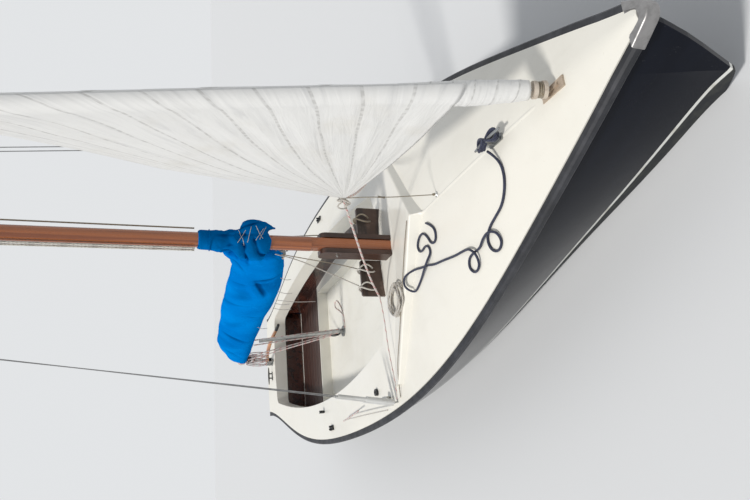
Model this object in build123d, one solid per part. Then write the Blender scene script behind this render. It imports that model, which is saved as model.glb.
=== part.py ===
"""Open day-sailing keelboat, 6.5 m: +X to the bow, +Y to port, +Z up, origin on the waterline amidships."""
from build123d import *
import os
from math import acos, atan2, cos, degrees, hypot, radians, sin, tan

os.makedirs("parts", exist_ok=True)

# Hull and deck, millimetres
half_length = 3250
sheer_mid = 655
sheer_bow = 727
sheer_stern = 744
shell_wall = 18
deck_wall = 14
stem_half = 12
transom_wall = 22
bow_solid_from = 2650

# Cockpit
well_aft = -2880
well_aft_half = 470
well_widest_x = -1100
well_widest_half = 705
well_fore = 440
well_fore_half = 540
well_front = 620
well_front_half = 280
well_corner_r = 70
lip_wall = 12
lip_depth = 100
floor_top = 310
seat_top = 415
seat_edge = 570
bench_front = -2150
liner_wall = 14
backrest_wall = 16
bulkhead_wall = 18
bulkhead_top = 638
woodwork_gap = 0.3

# Breakwater: a wedge whose ramp rises forward from the mast to a V-shaped front face
breakwater_apex_x = 1440
breakwater_apex_high = 70
breakwater_end_x = 640
breakwater_end_y = 850
breakwater_end_high = 28
breakwater_apex_aft_x = 925
breakwater_end_aft_x = 496
breakwater_apex_run = 52
breakwater_end_run = 20
breakwater_sink = 20
breakwater_round = 14

# Fin keel
keel_root_aft = -780
keel_root_fore = 680
keel_tip_aft = -620
keel_tip_fore = 420
keel_bottom = -850
keel_root_thick = 96
keel_tip_thick = 74
keel_root_z = -180
foil_tail = 8

# Rudder and tiller
rudder_x = -3000
stock_r = 16
stock_gap = 0.05
trunk_wall = 8
trunk_split = 200
rudder_top = -26
rudder_bottom = -640
rudder_balance = 95
rudder_chord = 420
rudder_tip_chord = 300
rudder_thick = 38
helm_at_rest = 13.7
tiller_reach = 905
head_high = 58
head_wide = 52
head_clear = 6
head_floor = 12
flange_r = 42
flange_thick = 6
tiller_wide = 36
tiller_grip = 110

# Rub rail and bow cap
rail_thick = 42
rail_high = 46
rail_down = 6
rail_seat = 0.3
rail_lap = 12
cap_from = 3190
cap_seat = 0.3
cap_lip = 4
cap_deep = 58
cap_round = 9
cap_nose_x = 3246
cap_nose_r = 53
cap_mouth_half = 60
cap_mouth_x = 3228
cap_mouth_r = 32

# Mast, tabernacle and boom
mast_x = 850
mast_r = 45
mast_top_r = 30
mast_foot_side = 72
mast_foot_top = 1330
mast_taper_from = 5200
mast_top = 8300
cheek_wall = 30
cheek_deep = 120
cheek_top = 1230
cheek_gap = 0.3
cheek_bolt_r = 8
cheek_bolt_z = 1120
cheek_ahead = 40
track_wide = 16
track_deep = 12
gooseneck_z = 1450
gooseneck_x = 762
boom_r = 38
boom_length = 3060
boom_drop_deg = 4.4
boom_swing_at_rest = 2.3
prop_r = 15
prop_x = -1500
prop_clear = 6
gooseneck_high = 60
gooseneck_pin_r = 7
fork_long = 90
boom_sheet_at = 2960
floor_base_x = -1646
floor_base_y = 35
collar_low = 1500
collar_high = 1985
collar_low_r = 160
collar_high_r = 72
collar_back = 6

# Deck gear
pin_rail_x = 650
pin_rail_wall = 22
pin_rail_top = 903
PIN_RAILS = [(-275, -30), (30, 345)]
pin_rail_cleats = 2
mooring_cleat_x = 2302
mooring_cleat_long = 235
mooring_cleat_high = 62
tang_high = 16
drum_high = 56
drum_r = 37
drum_rim = 16
drum_over_tang = 16
chainplate_high = 14
jib_block_x = 375
jib_block_y = 905
lead_block_x = -1185
lead_block_y = 790
cam_x = -1020
cam_y = 945
stern_cleat_x = -3030
stern_cleat_y = -150
stern_cleat_long = 190
stern_cleat_high = 48
rope_r = 6.5
sheet_r = 4.5
rope_lift = 0.8
bullseye_x = 160
bullseye_y = 830

# Rigging
stay_r = 3
stay_foot_x = 2736
stay_foot_z = 817
stay_top_z = 7950
stay_rake = 0.254
chainplate_x = 460
chainplate_y = 945
shroud_top_z = 7750
lower_top_z = 7550
shroud_tube_high = 400
shroud_tube_r = 17
shroud_tube_upper_r = 11
shroud_r = 3
shroud_gap = 0.3
rig_gap = 0.3
shroud_spread = 60
roll_r = 45
roll_foot_r = 29
roll_foot_z = 1250
roll_top_r = 20
roll_bottom_z = 850
roll_full_z = 4200
roll_top_z = 7700
clew_x = 1580
clew_z = 1280
jib_leech_z = 3500
jib_tack_z = 1150
jib_thick = 4


def sheer(x):
    """Height of the deck edge at a station, one parabola through bow, middle and stern."""
    bend = ((sheer_bow + sheer_stern) / 2 - sheer_mid) / half_length ** 2
    slope = (sheer_bow - sheer_stern) / (2 * half_length)
    return sheer_mid + slope * x + bend * x * x


# Stations of the hull and deck: x, half breadth at the deck edge, bilge breadth, bilge height, keel line, crown
STATIONS = [
    (-half_length, 520, 400, 170, 70, 14),
    (-2600, 716, 600, 10, -70, 30),
    (-1700, 965, 775, -70, -200, 60),
    (-700, 1036, 806, -95, -270, 95),
    (300, 995, 672, -95, -280, 118),
    (1200, 847, 425, -80, -250, 128),
    (2000, 580, 229, -50, -190, 112),
    (bow_solid_from, 300, 81, 0, -95, 62),
    (3050, 118, 24, 190, 85, 24),
]
# Stations of the bow, in front of the last one above: the same columns
BOW_STATIONS = [
    STATIONS[-1],
    (3150, 74, 22, 430, 340, 16),
    (3192, 56, 21, 545, 455, 13),
    (3220, 42, 20, 622, 545, 10),
    (3238, 29, 19, 668, 605, 8),
    (half_length - 4, 19, 18, 690, 640, 6),
]


def hull_section(station, inset=0, rise=0):
    """Hull section at a station as a face, with a rounded bilge, moved in by inset and cut rise above the sheer."""
    x, y_edge, y_bilge, z_bilge, z_keel, _ = station
    top = sheer(x) - deck_wall
    flare = (y_edge - y_bilge) / (top - z_bilge)
    side = []
    for turn in (1, -1):
        keel = Vector(x, turn * stem_half, z_keel + inset)
        bilge = Vector(x, turn * max(y_bilge - inset, stem_half + 6), z_bilge + inset * 0.6)
        edge = Vector(x, turn * (y_edge - inset + rise * flare), top + rise)
        reach = min((keel - bilge).length, (edge - bilge).length) * 0.62
        low = bilge + (keel - bilge).normalized() * reach
        high = bilge + (edge - bilge).normalized() * reach
        side.append((keel, low, bilge, high, edge))
    edges = []
    for keel, low, bilge, high, edge in side:
        edges += [Line(keel, low), TangentArc(low, high, tangent=bilge - low), Line(high, edge)]
    edges += [Line(side[0][0], side[1][0]), Line(side[0][4], side[1][4])]
    return Face(Wire(edges))


def deck_section(station, inset=0, drop=0):
    """Deck section at a station as a face: planar sides that meet in a rounded ridge, moved in by inset."""
    x, y_edge, _, _, _, crown = station
    low = sheer(x) - deck_wall - drop
    edge_z = sheer(x) - inset
    y = y_edge - inset
    ridge = Vector(x, 0, sheer(x) + crown - inset)
    left, right = Vector(x, y, edge_z), Vector(x, -y, edge_z)
    reach = (left - ridge).length * 0.34
    a = ridge + (left - ridge).normalized() * reach
    b = ridge + (right - ridge).normalized() * reach
    foot_left, foot_right = Vector(x, y, low), Vector(x, -y, low)
    return Face(Wire([Line(foot_left, left), Line(left, a), TangentArc(a, b, tangent=ridge - a), Line(b, right),
                      Line(right, foot_right), Line(foot_right, foot_left)]))


def station_at(x):
    """Station worked out between the two of the table that it lies between."""
    table = STATIONS + BOW_STATIONS[1:]
    for low, high in zip(table, table[1:]):
        if low[0] <= x <= high[0]:
            share = (x - low[0]) / (high[0] - low[0])
            return tuple(a + (b - a) * share for a, b in zip(low, high))
    return BOW_STATIONS[-1]


def along_hull(section, *sizes):
    """Solid through all the stations: a smooth loft to the last full one and a ruled bow in front of it."""
    return loft([section(s, *sizes) for s in STATIONS]) + loft([section(s, *sizes) for s in BOW_STATIONS], ruled=True)


def deck_height(x, y):
    """Top of the deck's skin at a place."""
    hits = deck_body.find_intersection_points(Axis((x, y, 3000), (0, 0, -1)))
    return max((point.Z for point, _ in hits), default=sheer(x))


def export(shape, name):
    """Writes one named piece and keeps it in the model."""
    shape.label = name
    export_step(shape, f"parts/{name}.step")
    MODEL[name] = shape


MODEL = {}


def well_outline(grow=0):
    """Outline of the cockpit well in plan, grown outwards by a distance, with rounded corners."""
    points = [(well_aft, well_aft_half), (well_fore, well_fore_half), (well_front, well_front_half)]
    side = ThreePointArc(points[0], (well_widest_x, well_widest_half), points[1])
    slant = Line(points[1], points[2])
    half = [side, slant]
    other = [edge.mirror(Plane.XZ) for edge in half]
    front = Line(points[2], (well_front, -well_front_half))
    back = Line(points[0], (well_aft, -well_aft_half))
    face = Face(Wire(half + other + [front, back]))
    face = fillet(face.vertices(), well_corner_r)
    if grow:
        face = offset(face, amount=grow, kind=Kind.ARC)
    return face


def column(outline, low, high):
    """Outline raised to a solid between two heights."""
    return extrude(Pos(0, 0, low) * outline, high - low, dir=(0, 0, 1))


def largest(shape):
    """Largest solid of a shape that a cut has split."""
    return max(shape.solids(), key=lambda solid: solid.volume)


def slab(x0, x1, y0, y1, z0, z1):
    """Box between corner values."""
    return Pos((x0 + x1) / 2, (y0 + y1) / 2, (z0 + z1) / 2) * Box(x1 - x0, y1 - y0, z1 - z0)


# Hull: outer loft less inner loft
hull_body = along_hull(hull_section)
inner_stations = [s for s in STATIONS if s[0] <= bow_solid_from]
inner_stations[0] = (-half_length + transom_wall,) + STATIONS[0][1:]
hull_room = loft([hull_section(s, shell_wall, 40) for s in inner_stations])
stock_hole = Pos(rudder_x, 0, 0) * Cylinder(stock_r + stock_gap + trunk_wall, 1000)
hull = hull_body - hull_room - stock_hole
export(hull, "hull_shell")

# Deck moulding: skin, lip round the well and the breakwater
deck_body = along_hull(deck_section)
deck_room = loft([deck_section(s, deck_wall, 1) for s in STATIONS])
well = well_outline()
lip = column(well_outline(lip_wall), 540, 1200) - column(well, 500, 1300)
lip_band = loft([deck_section(s, deck_wall / 2, lip_depth) for s in STATIONS])
deck = deck_body - deck_room - column(well, 300, 1300)
deck = deck + (lip & lip_band)


def breakwater_side(turn):
    """One half of the breakwater, lofted from its section on the centreline to its outer end."""
    faces = []
    for y, aft, front, high, run in (
            (0, breakwater_apex_aft_x, breakwater_apex_x, breakwater_apex_high, breakwater_apex_run),
            (turn * breakwater_end_y, breakwater_end_aft_x, breakwater_end_x, breakwater_end_high, breakwater_end_run)):
        base, back = deck_height(front, y), deck_height(aft, y)
        outline = [(aft, back - breakwater_sink), (aft, back + 0.5), (front - run, base + high), (front, base),
                   (front, base - breakwater_sink)]
        faces.append(Face(Wire.make_polygon([Vector(x, y, z) for x, z in outline])))
    return loft(faces, ruled=True)


wedge = breakwater_side(1) + breakwater_side(-1)
wedge = fillet(wedge.edges().sort_by(Axis.Z)[-4:-1], breakwater_round)
deck = deck + (wedge - deck_room)
deck = deck - (Pos(rudder_x, 0, 700) * Cylinder(stock_r + stock_gap + trunk_wall, 300))
export(deck, "deck_moulding")

# Cockpit liner: floor, side seats and aft bench, trimmed to the inside of the hull
aft_end = well_aft - 40
fore_end = well_front + 60
beam = sheer_mid * 2
tray = slab(aft_end, fore_end, -beam, beam, floor_top - liner_wall, seat_top)
tray -= slab(bench_front, fore_end + 1, -seat_edge, seat_edge, floor_top, seat_top + 1)
tray -= slab(bench_front - liner_wall, fore_end + 1, -beam, -seat_edge - liner_wall, 0, seat_top - liner_wall)
tray -= slab(bench_front - liner_wall, fore_end + 1, seat_edge + liner_wall, beam, 0, seat_top - liner_wall)
tray -= slab(aft_end - 1, bench_front - liner_wall, -beam, beam, 0, seat_top - liner_wall)
liner = tray & hull_room
export(liner, "cockpit_liner")

# Wooden backs round the well, between the seats and the deck's underside
board_room = column(well_outline(lip_wall + woodwork_gap + backrest_wall), seat_top, 640)
board_hole = column(well_outline(lip_wall + woodwork_gap), seat_top - 10, 700)
boards = (board_room - board_hole) & hull_room
boards = boards & slab(well_aft + 120, well_fore - 20, -1100, 1100, 300, 640)
export(boards, "backrest_boards")
bulkhead_aft = well_aft - 30
bulkhead = slab(bulkhead_aft - bulkhead_wall, bulkhead_aft, -700, 700, seat_top, bulkhead_top) & hull_room
bulkhead_fore_x = well_front + 30
bulkhead_fore = slab(bulkhead_fore_x, bulkhead_fore_x + bulkhead_wall, -seat_edge, seat_edge, floor_top,
                     bulkhead_top)
bulkhead_fore += slab(bulkhead_fore_x, bulkhead_fore_x + bulkhead_wall, -900, 900, seat_top, bulkhead_top)
bulkhead_fore = bulkhead_fore & hull_room
export(bulkhead, "aft_bulkhead")
export(bulkhead_fore, "fore_bulkhead")

# Fin keel: two plan sections, trimmed to the hull's bottom


def foil(x_aft, x_fore, thick, z):
    """Foil in plan at one height: two long arcs from a thin square tail to a round nose."""
    nose = thick * 0.34
    tail = foil_tail / 2
    upper = ThreePointArc((x_aft, tail, z), ((x_aft + x_fore * 1.2) / 2.2, thick / 2, z), (x_fore - nose, nose, z))
    lower = upper.mirror(Plane.XZ)
    front = ThreePointArc((x_fore - nose, nose, z), (x_fore, 0, z), (x_fore - nose, -nose, z))
    back = Line((x_aft, tail, z), (x_aft, -tail, z))
    return Face(Wire([upper, lower, front, back]))


keel = loft([foil(keel_root_aft, keel_root_fore, keel_root_thick, keel_root_z),
             foil(keel_tip_aft, keel_tip_fore, keel_tip_thick, keel_bottom)])
export(largest(keel - hull_body), "keel_fin")

# Rub rail of rubber round the deck edge, and the metal cap on the bow


def rail_section(station):
    """Section of the rub rail at a station: a rounded block whose back follows the deck edge and the hull's side."""
    x, y_edge, y_bilge, z_bilge = station[:4]
    top = sheer(x) - rail_down
    joint = sheer(x) - deck_wall
    low = top - rail_high
    back = y_edge - rail_lap
    flare = (y_edge - y_bilge) / (joint - z_bilge)
    back_low = back - flare * (joint - low)
    out = y_edge + rail_thick
    out_low = out - flare * (joint - low) * 0.5
    round_off = rail_high * 0.22
    pts = [(x, back_low, low), (x, out_low - round_off, low), (x, out_low, low + round_off), (x, out, top - round_off),
           (x, out - round_off, top), (x, back, top), (x, back, joint)]
    return Face(Wire.make_polygon([Vector(*p) for p in pts]))


rail_side = loft([rail_section(s) for s in STATIONS])
rail_side += loft([rail_section(s) for s in (*BOW_STATIONS[:2], station_at(cap_from))], ruled=True)
rail_side = largest(rail_side - hull_body - Pos(0, rail_seat, 0) * deck_body)
stern_y = STATIONS[0][1] + rail_thick
stern_rail = slab(-half_length - rail_thick, -half_length - rail_seat, -stern_y, stern_y,
                  sheer_stern - rail_down - rail_high, sheer_stern - rail_down)
stern_rail = fillet(stern_rail.edges().group_by(Axis.X)[0], rail_thick * 0.3)
corner = slab(-half_length - rail_seat, -half_length, stern_y - rail_thick + rail_seat, stern_y - 10,
              sheer_stern - rail_down - rail_high + 12, sheer_stern - rail_down)
rail = rail_side + rail_side.mirror(Plane.XZ) + stern_rail + corner + corner.mirror(Plane.XZ)
export(rail, "rub_rail")



def nose_plan(aft_x, half_wide, centre_x, radius):
    """Outline in plan with straight sides from a half breadth at its open end to an arc round the nose."""
    away = hypot(half_wide, aft_x - centre_x)
    turn = atan2(half_wide, aft_x - centre_x) - acos(radius / away)
    shoulder = Vector(centre_x + radius * cos(turn), radius * sin(turn))
    across = Vector(shoulder.X, -shoulder.Y)
    start, end = Vector(aft_x, half_wide), Vector(aft_x, -half_wide)
    return Face(Wire([Line(start, shoulder), ThreePointArc(shoulder, (centre_x + radius, 0), across),
                      Line(across, end), Line(end, start)]))


cap_plan = nose_plan(cap_from + cap_seat, station_at(cap_from)[1] + rail_thick, cap_nose_x, cap_nose_r)
cap = column(cap_plan, sheer_bow - cap_deep, sheer_bow + cap_lip)
cap_rims = cap.edges().filter_by_position(Axis.X, cap_from + 1, 2 * half_length).filter_by(Axis.Z, reverse=True)
cap = fillet(cap_rims, cap_round)
cap += (Pos(0, 0, cap_lip) * deck_body) & column(cap_plan, sheer_bow - cap_deep, sheer_bow + 200)
cap -= column(nose_plan(cap_from - 10, cap_mouth_half, cap_mouth_x, cap_mouth_r), sheer_bow, sheer_bow + 300)
cap = largest(cap - deck_body - hull_body)
export(cap, "bow_cap")

# Rudder trunk in the hull, and the rudder turned about its stock
trunk_r = stock_r + stock_gap + trunk_wall
aft_deck_top = deck_height(rudder_x, 0)
trunk_top = aft_deck_top + flange_thick
trunk = column(Pos(rudder_x, 0) * Circle(trunk_r), -200, trunk_split) & hull_body
trunk += column(Pos(rudder_x, 0) * Circle(trunk_r), trunk_split - 1, trunk_top)
flange = Pos(rudder_x, 0, trunk_top - flange_thick) * Cylinder(flange_r, 2 * flange_thick)
trunk = trunk + (flange - deck_body - Pos(rudder_x, 0, 0) * Cylinder(trunk_r, 3000))
trunk = trunk - Pos(rudder_x, 0, 0) * Cylinder(stock_r + stock_gap, 3000)
export(trunk, "rudder_trunk")


def helm(shape):
    """Turns a piece of the rudder about its stock to the place it has at rest."""
    return Pos(rudder_x, 0, 0) * Rot(0, 0, helm_at_rest) * Pos(-rudder_x, 0, 0) * shape


head_low = trunk_top + head_clear
stock_low = rudder_bottom + 160
stock = Pos(rudder_x, 0, (stock_low + head_low) / 2) * Cylinder(stock_r, head_low - stock_low)
blade = loft([foil(rudder_x + rudder_balance - rudder_chord, rudder_x + rudder_balance, rudder_thick, rudder_top),
              foil(rudder_x + rudder_balance - rudder_tip_chord - 20, rudder_x + rudder_balance - 20, rudder_thick * 0.8,
                   rudder_bottom)])
export(helm(largest(blade - stock)), "rudder_blade")
export(helm(stock), "rudder_stock")
tiller_half = tiller_wide / 2
head = slab(rudder_x - 40, rudder_x + 70, -head_wide / 2, head_wide / 2, head_low, head_low + head_high)
head = fillet(head.edges().filter_by(Axis.Z), 8)
head = head - slab(rudder_x - 60, rudder_x + 90, -tiller_half - woodwork_gap, tiller_half + woodwork_gap,
                   head_low + head_floor, head_low + head_high + 20)
export(helm(head), "rudder_head")

# Tiller: from the head it rises in a bow and ends in a black grip
TILLER = [
    (-34, 33, 38, 1.0),
    (150, 74, 38, 1.0),
    (480, 104, 34, 0.9),
    (tiller_reach - tiller_grip, 98, 27, 0.78),
]


def tiller_section(row, grow=0):
    """Rounded section of the tiller at a distance from the stock: reach, height over the head, depth, width share."""
    reach, up, deep, share = row
    plane = Plane((rudder_x + reach, 0, head_low + up), x_dir=(0, 1, 0), z_dir=(1, 0, 0))
    return plane * RectangleRounded(tiller_wide * share + grow, deep + grow, 8)


tiller = loft([tiller_section(row) for row in TILLER])
grip_start = TILLER[-1]
grip_end = (tiller_reach, 96, 24, 0.7)
grip = loft([tiller_section(grip_start, 3), tiller_section(grip_end, 1)])
export(helm(tiller), "tiller")
export(helm(grip), "tiller_grip")

# Mast in its cheeks
mast_deck = deck_height(mast_x, 0)
foot = slab(mast_x - mast_foot_side / 2, mast_x + mast_foot_side / 2, -mast_foot_side / 2, mast_foot_side / 2,
            mast_deck - 40, mast_foot_top)
foot = fillet(foot.edges().filter_by(Axis.Z), 10)
upper = Pos(mast_x, 0, (mast_foot_top + mast_taper_from) / 2 - 20) * Cylinder(mast_r, mast_taper_from - mast_foot_top + 40)
taper_high = mast_top - mast_taper_from
taper = Pos(mast_x, 0, mast_taper_from + taper_high / 2) * Cone(mast_r, mast_top_r, taper_high)
cheek_centre = mast_x + cheek_ahead - cheek_deep / 2
bolt = Pos(mast_x, 0, cheek_bolt_z) * Rot(90, 0, 0) * Cylinder(cheek_bolt_r, 2 * (mast_foot_side / 2 + cheek_wall + 14))
bolt_hole = Pos(mast_x, 0, cheek_bolt_z) * Rot(90, 0, 0) * Cylinder(cheek_bolt_r + stock_gap, 400)
mast = (foot + upper + taper) - deck_body - bolt_hole
export(mast, "mast")
cheeks = []
for turn in (1, -1):
    low_y, high_y = sorted((turn * (mast_foot_side / 2 + cheek_gap), turn * (mast_foot_side / 2 + cheek_gap + cheek_wall)))
    cheek = slab(cheek_centre - cheek_deep / 2, cheek_centre + cheek_deep / 2, low_y, high_y, mast_deck - 60, cheek_top)
    cheek = fillet(cheek.edges().filter_by(Axis.Y).group_by(Axis.Z)[-1], 38)
    cheeks.append(cheek - deck_body - bolt_hole)
export(cheeks[0] + cheeks[1], "mast_cheeks")
export(bolt, "cheek_bolt")
track_x = mast_x - mast_r - track_deep / 2 + 2
track_low = gooseneck_z + 90
track = slab(track_x - track_deep / 2, track_x + track_deep / 2, -track_wide / 2, track_wide / 2, track_low,
             mast_taper_from)
export(track - mast, "mast_track")
export(Pos(mast_x, 0, mast_top + 15) * Box(150, 50, 30), "masthead")

# Pin rails behind the mast with their belaying cleats


def horn_cleat(long, high):
    """Horn cleat along X, seated at z 0: a foot, two posts and a spindle-shaped horn."""
    base = fillet(Box(long * 0.5, high * 0.55, high * 0.12).edges().filter_by(Axis.Z), high * 0.2)
    base = Pos(0, 0, high * 0.06) * base
    horn_r = high * 0.14
    spindle = [Line((-long / 2, 0), (-long / 2, horn_r * 0.6)),
               ThreePointArc((-long / 2, horn_r * 0.6), (0, horn_r * 1.3), (long / 2, horn_r * 0.6)),
               Line((long / 2, horn_r * 0.6), (long / 2, 0)), Line((long / 2, 0), (-long / 2, 0))]
    horn = Pos(0, 0, high * 0.84) * revolve(Face(Wire(spindle)), Axis.X)
    posts = [Pos(turn * long * 0.13, 0, high * 0.45) * Cylinder(horn_r, high * 0.75) for turn in (1, -1)]
    return base + posts[0] + posts[1] + horn


rails = []
rail_cleats = []
for low_y, high_y in PIN_RAILS:
    middle_z = deck_height(pin_rail_x, (low_y + high_y) / 2)
    board = slab(pin_rail_x - pin_rail_wall / 2, pin_rail_x + pin_rail_wall / 2, low_y, high_y, middle_z - 80,
                 pin_rail_top)
    board = fillet(board.edges().filter_by(Axis.X).group_by(Axis.Z)[-1], 14)
    rails.append(board - deck_body)
    for i in range(pin_rail_cleats):
        y = low_y + (high_y - low_y) * (i + 0.5) / pin_rail_cleats
        cleat = Pos(pin_rail_x - pin_rail_wall / 2, y, pin_rail_top - 50) * Rot(0, -90, 0) * horn_cleat(80, 34)
        rail_cleats.append(cleat)
export(rails[0] + rails[1], "pin_rails")
export(Compound(children=rail_cleats), "rail_cleats")

# Mooring cleat and furling drum on the foredeck
cleat_foot = deck_height(mooring_cleat_x, 0)
export(Pos(mooring_cleat_x, 0, cleat_foot) * horn_cleat(mooring_cleat_long, mooring_cleat_high) - deck_body,
       "mooring_cleat")


def along_stay(z):
    """Point on the forestay's line at a height."""
    return Vector(stay_foot_x - stay_rake * (z - stay_foot_z), 0, z)


def rod(start, end, radius, end_radius=None):
    """Round rod or taper between two points."""
    run = end - start
    middle = (start + end) / 2
    plane = Plane(middle, z_dir=run.normalized())
    if end_radius is None:
        return plane * Cylinder(radius, run.length)
    return plane * Cone(radius, end_radius, run.length)


stay_low = along_stay(deck_height(stay_foot_x + 20, 0) - 30)
plate_top = deck_height(stay_foot_x + 20, 0)
drum_low = plate_top + tang_high + drum_over_tang
drum_top = drum_low + drum_high
drum = rod(along_stay(drum_low), along_stay(drum_low + drum_rim), drum_r)
drum += rod(along_stay(drum_low + drum_rim), along_stay(drum_top - drum_rim), drum_r * 0.62)
drum += rod(along_stay(drum_top - drum_rim), along_stay(drum_top), drum_r)
drum -= rod(along_stay(drum_low - 40), along_stay(drum_top + 40), stay_r + rig_gap)
export(drum, "furling_drum")
stay_top = along_stay(stay_top_z)
stay = rod(stay_low, stay_top, stay_r)
export(stay - deck_body - mast, "forestay")
plate = slab(stay_foot_x - 60, stay_foot_x + 90, -24, 24, plate_top - 30, plate_top + 6)
plate = plate + slab(stay_foot_x - 26, stay_foot_x + 60, -5, 5, plate_top, plate_top + tang_high)
export(plate - deck_body - rod(stay_low, stay_top, stay_r + rig_gap), "stem_plate")

# Jib: rolled tube on the stay and the triangle left set
roll = rod(along_stay(roll_bottom_z), along_stay(roll_foot_z), roll_foot_r, roll_r)
roll += rod(along_stay(roll_foot_z), along_stay(roll_full_z), roll_r)
roll += rod(along_stay(roll_full_z), along_stay(roll_top_z), roll_r, roll_top_r)
roll -= rod(along_stay(roll_bottom_z - 50), along_stay(roll_top_z + 50), stay_r + rig_gap)
export(roll, "jib_roll")
tack = along_stay(jib_tack_z)
head_point = along_stay(jib_leech_z)
clew = Vector(clew_x, 0, clew_z)
jib = Face(Wire.make_polygon([tack, clew, head_point]))
jib = extrude(jib, jib_thick / 2, both=True)
jib = jib - rod(along_stay(roll_bottom_z - 50), along_stay(roll_top_z), roll_r + rig_gap)
export(largest(jib), "jib_sail")

# Chainplates, shrouds and their white tubes
plates, wires, tubes = [], [], []
for turn in (1, -1):
    for number, (along, top_z) in enumerate(((shroud_spread / 2, shroud_top_z), (-shroud_spread / 2, lower_top_z))):
        x = chainplate_x + along
        deck_z = deck_height(x, chainplate_y)
        low = Vector(x, turn * chainplate_y, deck_z + chainplate_high)
        high = Vector(mast_x - 10, turn * (mast_top_r - 6), top_z)
        way = (high - low).normalized()
        wires.append(rod(low, high, shroud_r) - mast)
        tube = rod(low + way * 14, low + way * shroud_tube_high * 0.52, shroud_tube_r)
        tube += rod(low + way * (shroud_tube_high * 0.5), low + way * shroud_tube_high, shroud_tube_upper_r)
        tubes.append(tube - rod(low, low + way * 2 * shroud_tube_high, shroud_r + shroud_gap))
        plate = slab(x - 12, x + 12, turn * chainplate_y - 3, turn * chainplate_y + 3, deck_z - 8,
                     deck_z + chainplate_high + 10)
        plates.append(plate - deck_body - rod(low, high, shroud_r + 0.02))
export(Compound(children=plates), "chainplates")
export(Compound(children=wires), "shrouds")
export(Compound(children=tubes), "shroud_tubes")

# Sheet gear


def block(radius, wide):
    """Small pulley block standing at z 0: two cheeks, a sheave and a foot."""
    parts = Pos(0, 0, radius * 1.25) * Rot(90, 0, 0) * Cylinder(radius * 0.86, wide * 0.5)
    for turn in (1, -1):
        parts += Pos(0, turn * wide * 0.36, radius * 1.25) * Rot(90, 0, 0) * Cylinder(radius, wide * 0.24)
    return parts + Pos(0, 0, radius * 0.3) * Cylinder(radius * 0.4, radius * 0.6)


jib_blocks, cams, leads, eyes = [], [], [], []
for turn in (1, -1):
    for kept, make, x, y in ((jib_blocks, block(26, 26), jib_block_x, jib_block_y),
                             (leads, block(22, 22), lead_block_x, lead_block_y)):
        kept.append(Pos(x, turn * y, deck_height(x, y) - 2) * make - deck_body)
    foot = deck_height(cam_x, cam_y)
    cam = slab(cam_x - 45, cam_x + 45, turn * cam_y - 20, turn * cam_y + 20, foot - 12, foot + 12)
    for side in (1, -1):
        cam += Pos(cam_x, turn * cam_y + side * 11, foot + 20) * Cylinder(8, 18)
    cams.append(cam - deck_body)
    foot = deck_height(bullseye_x, bullseye_y)
    eye = Pos(bullseye_x, turn * bullseye_y, foot + 6) * Cylinder(24, 24)
    eyes.append(eye - deck_body - Pos(bullseye_x, turn * bullseye_y, foot) * Cylinder(11, 100))
export(Compound(children=jib_blocks), "jib_blocks")
export(Compound(children=leads), "lead_blocks")
export(Compound(children=cams), "cam_cleats")
export(Compound(children=eyes), "bullseyes")
stern_foot = deck_height(stern_cleat_x, stern_cleat_y)
stern_cleat = Pos(stern_cleat_x, stern_cleat_y, stern_foot) * Rot(0, 0, 90) * horn_cleat(stern_cleat_long, stern_cleat_high)
export(stern_cleat - deck_body, "stern_cleat")

# Tail of the mooring rope on the foredeck. Columns: x, y, height over lying on the deck
ROPE = [
    (2262, -36, 26), (2300, -88, 5), (2306, -158, 0), (2272, -228, 0), (2212, -286, 0), (2138, -312, 0),
    (2062, -340, 0), (2016, -384, 0), (2026, -440, 0), (2078, -464, 0), (2128, -434, 0), (2120, -382, 5),
    (2068, -358, 15), (2006, -374, 15), (1940, -398, 0), (1876, -398, 0), (1816, -410, 0), (1794, -458, 0),
    (1838, -496, 0), (1898, -472, 2), (1912, -418, 15), (1868, -376, 15), (1796, -360, 0), (1690, -354, 0),
    (1560, -334, 0), (1450, -322, 0), (1370, -298, 0), (1290, -288, 0), (1212, -272, 4), (1152, -288, 9),
    (1120, -314, 9), (1096, -354, 8), (1126, -388, 1), (1180, -378, 0), (1262, -342, 0), (1345, -318, 15),
    (1414, -284, 15), (1452, -250, 0), (1444, -208, 0), (1400, -194, 0), (1352, -208, 0), (1314, -198, 0),
    (1302, -164, 0), (1326, -136, 0), (1364, -116, 0), (1410, -118, 0), (1456, -158, 0), (1484, -212, 0), (1542, -216, 0),
    (1566, -160, 0), (1520, -110, 0), (1468, -80, 0),
]
# Coil of sheet beside the starboard pin rail: centre, half axes and thickness of its ring
coil_x = 890
coil_y = -372
coil_long = 138
coil_wide = 92
coil_r = 15
coil_lift = 3.2
# End of the mainsheet on the cockpit floor. Columns: x, y
MAINSHEET_TAIL = [
    (-1592, 58), (-1598, 150), (-1650, 260), (-1740, 350), (-1818, 396), (-1872, 388), (-1880, 344), (-1836, 310),
    (-1740, 268), (-1660, 216),
]


def tube(points, radius):
    """Round cord along points: straight runs joined by arcs as large as the runs allow."""
    radii = []
    for before, at, after in zip(points, points[1:], points[2:]):
        turn = (at - before).get_angle(after - at)
        shorter = min((at - before).length, (after - at).length)
        radii.append(0.45 * shorter / tan(radians(turn) / 2))
    path = FilletPolyline(*points, radius=radii)
    print("cord length", round(path.length), "tightest arc", round(min(radii)))
    section = Plane(path @ 0, z_dir=path % 0) * Circle(radius)
    return sweep(section, path=path)


def lay(rows, radius):
    """Points of a cord that lies on the deck."""
    return [Vector(x, y, top_of(x, y) + radius + rope_lift + over) for x, y, over in rows]


def top_of(x, y):
    """Top of the finished deck moulding at a place."""
    hits = deck.find_intersection_points(Axis((x, y, 3000), (0, 0, -1)))
    return max(point.Z for point, _ in hits)


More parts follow.
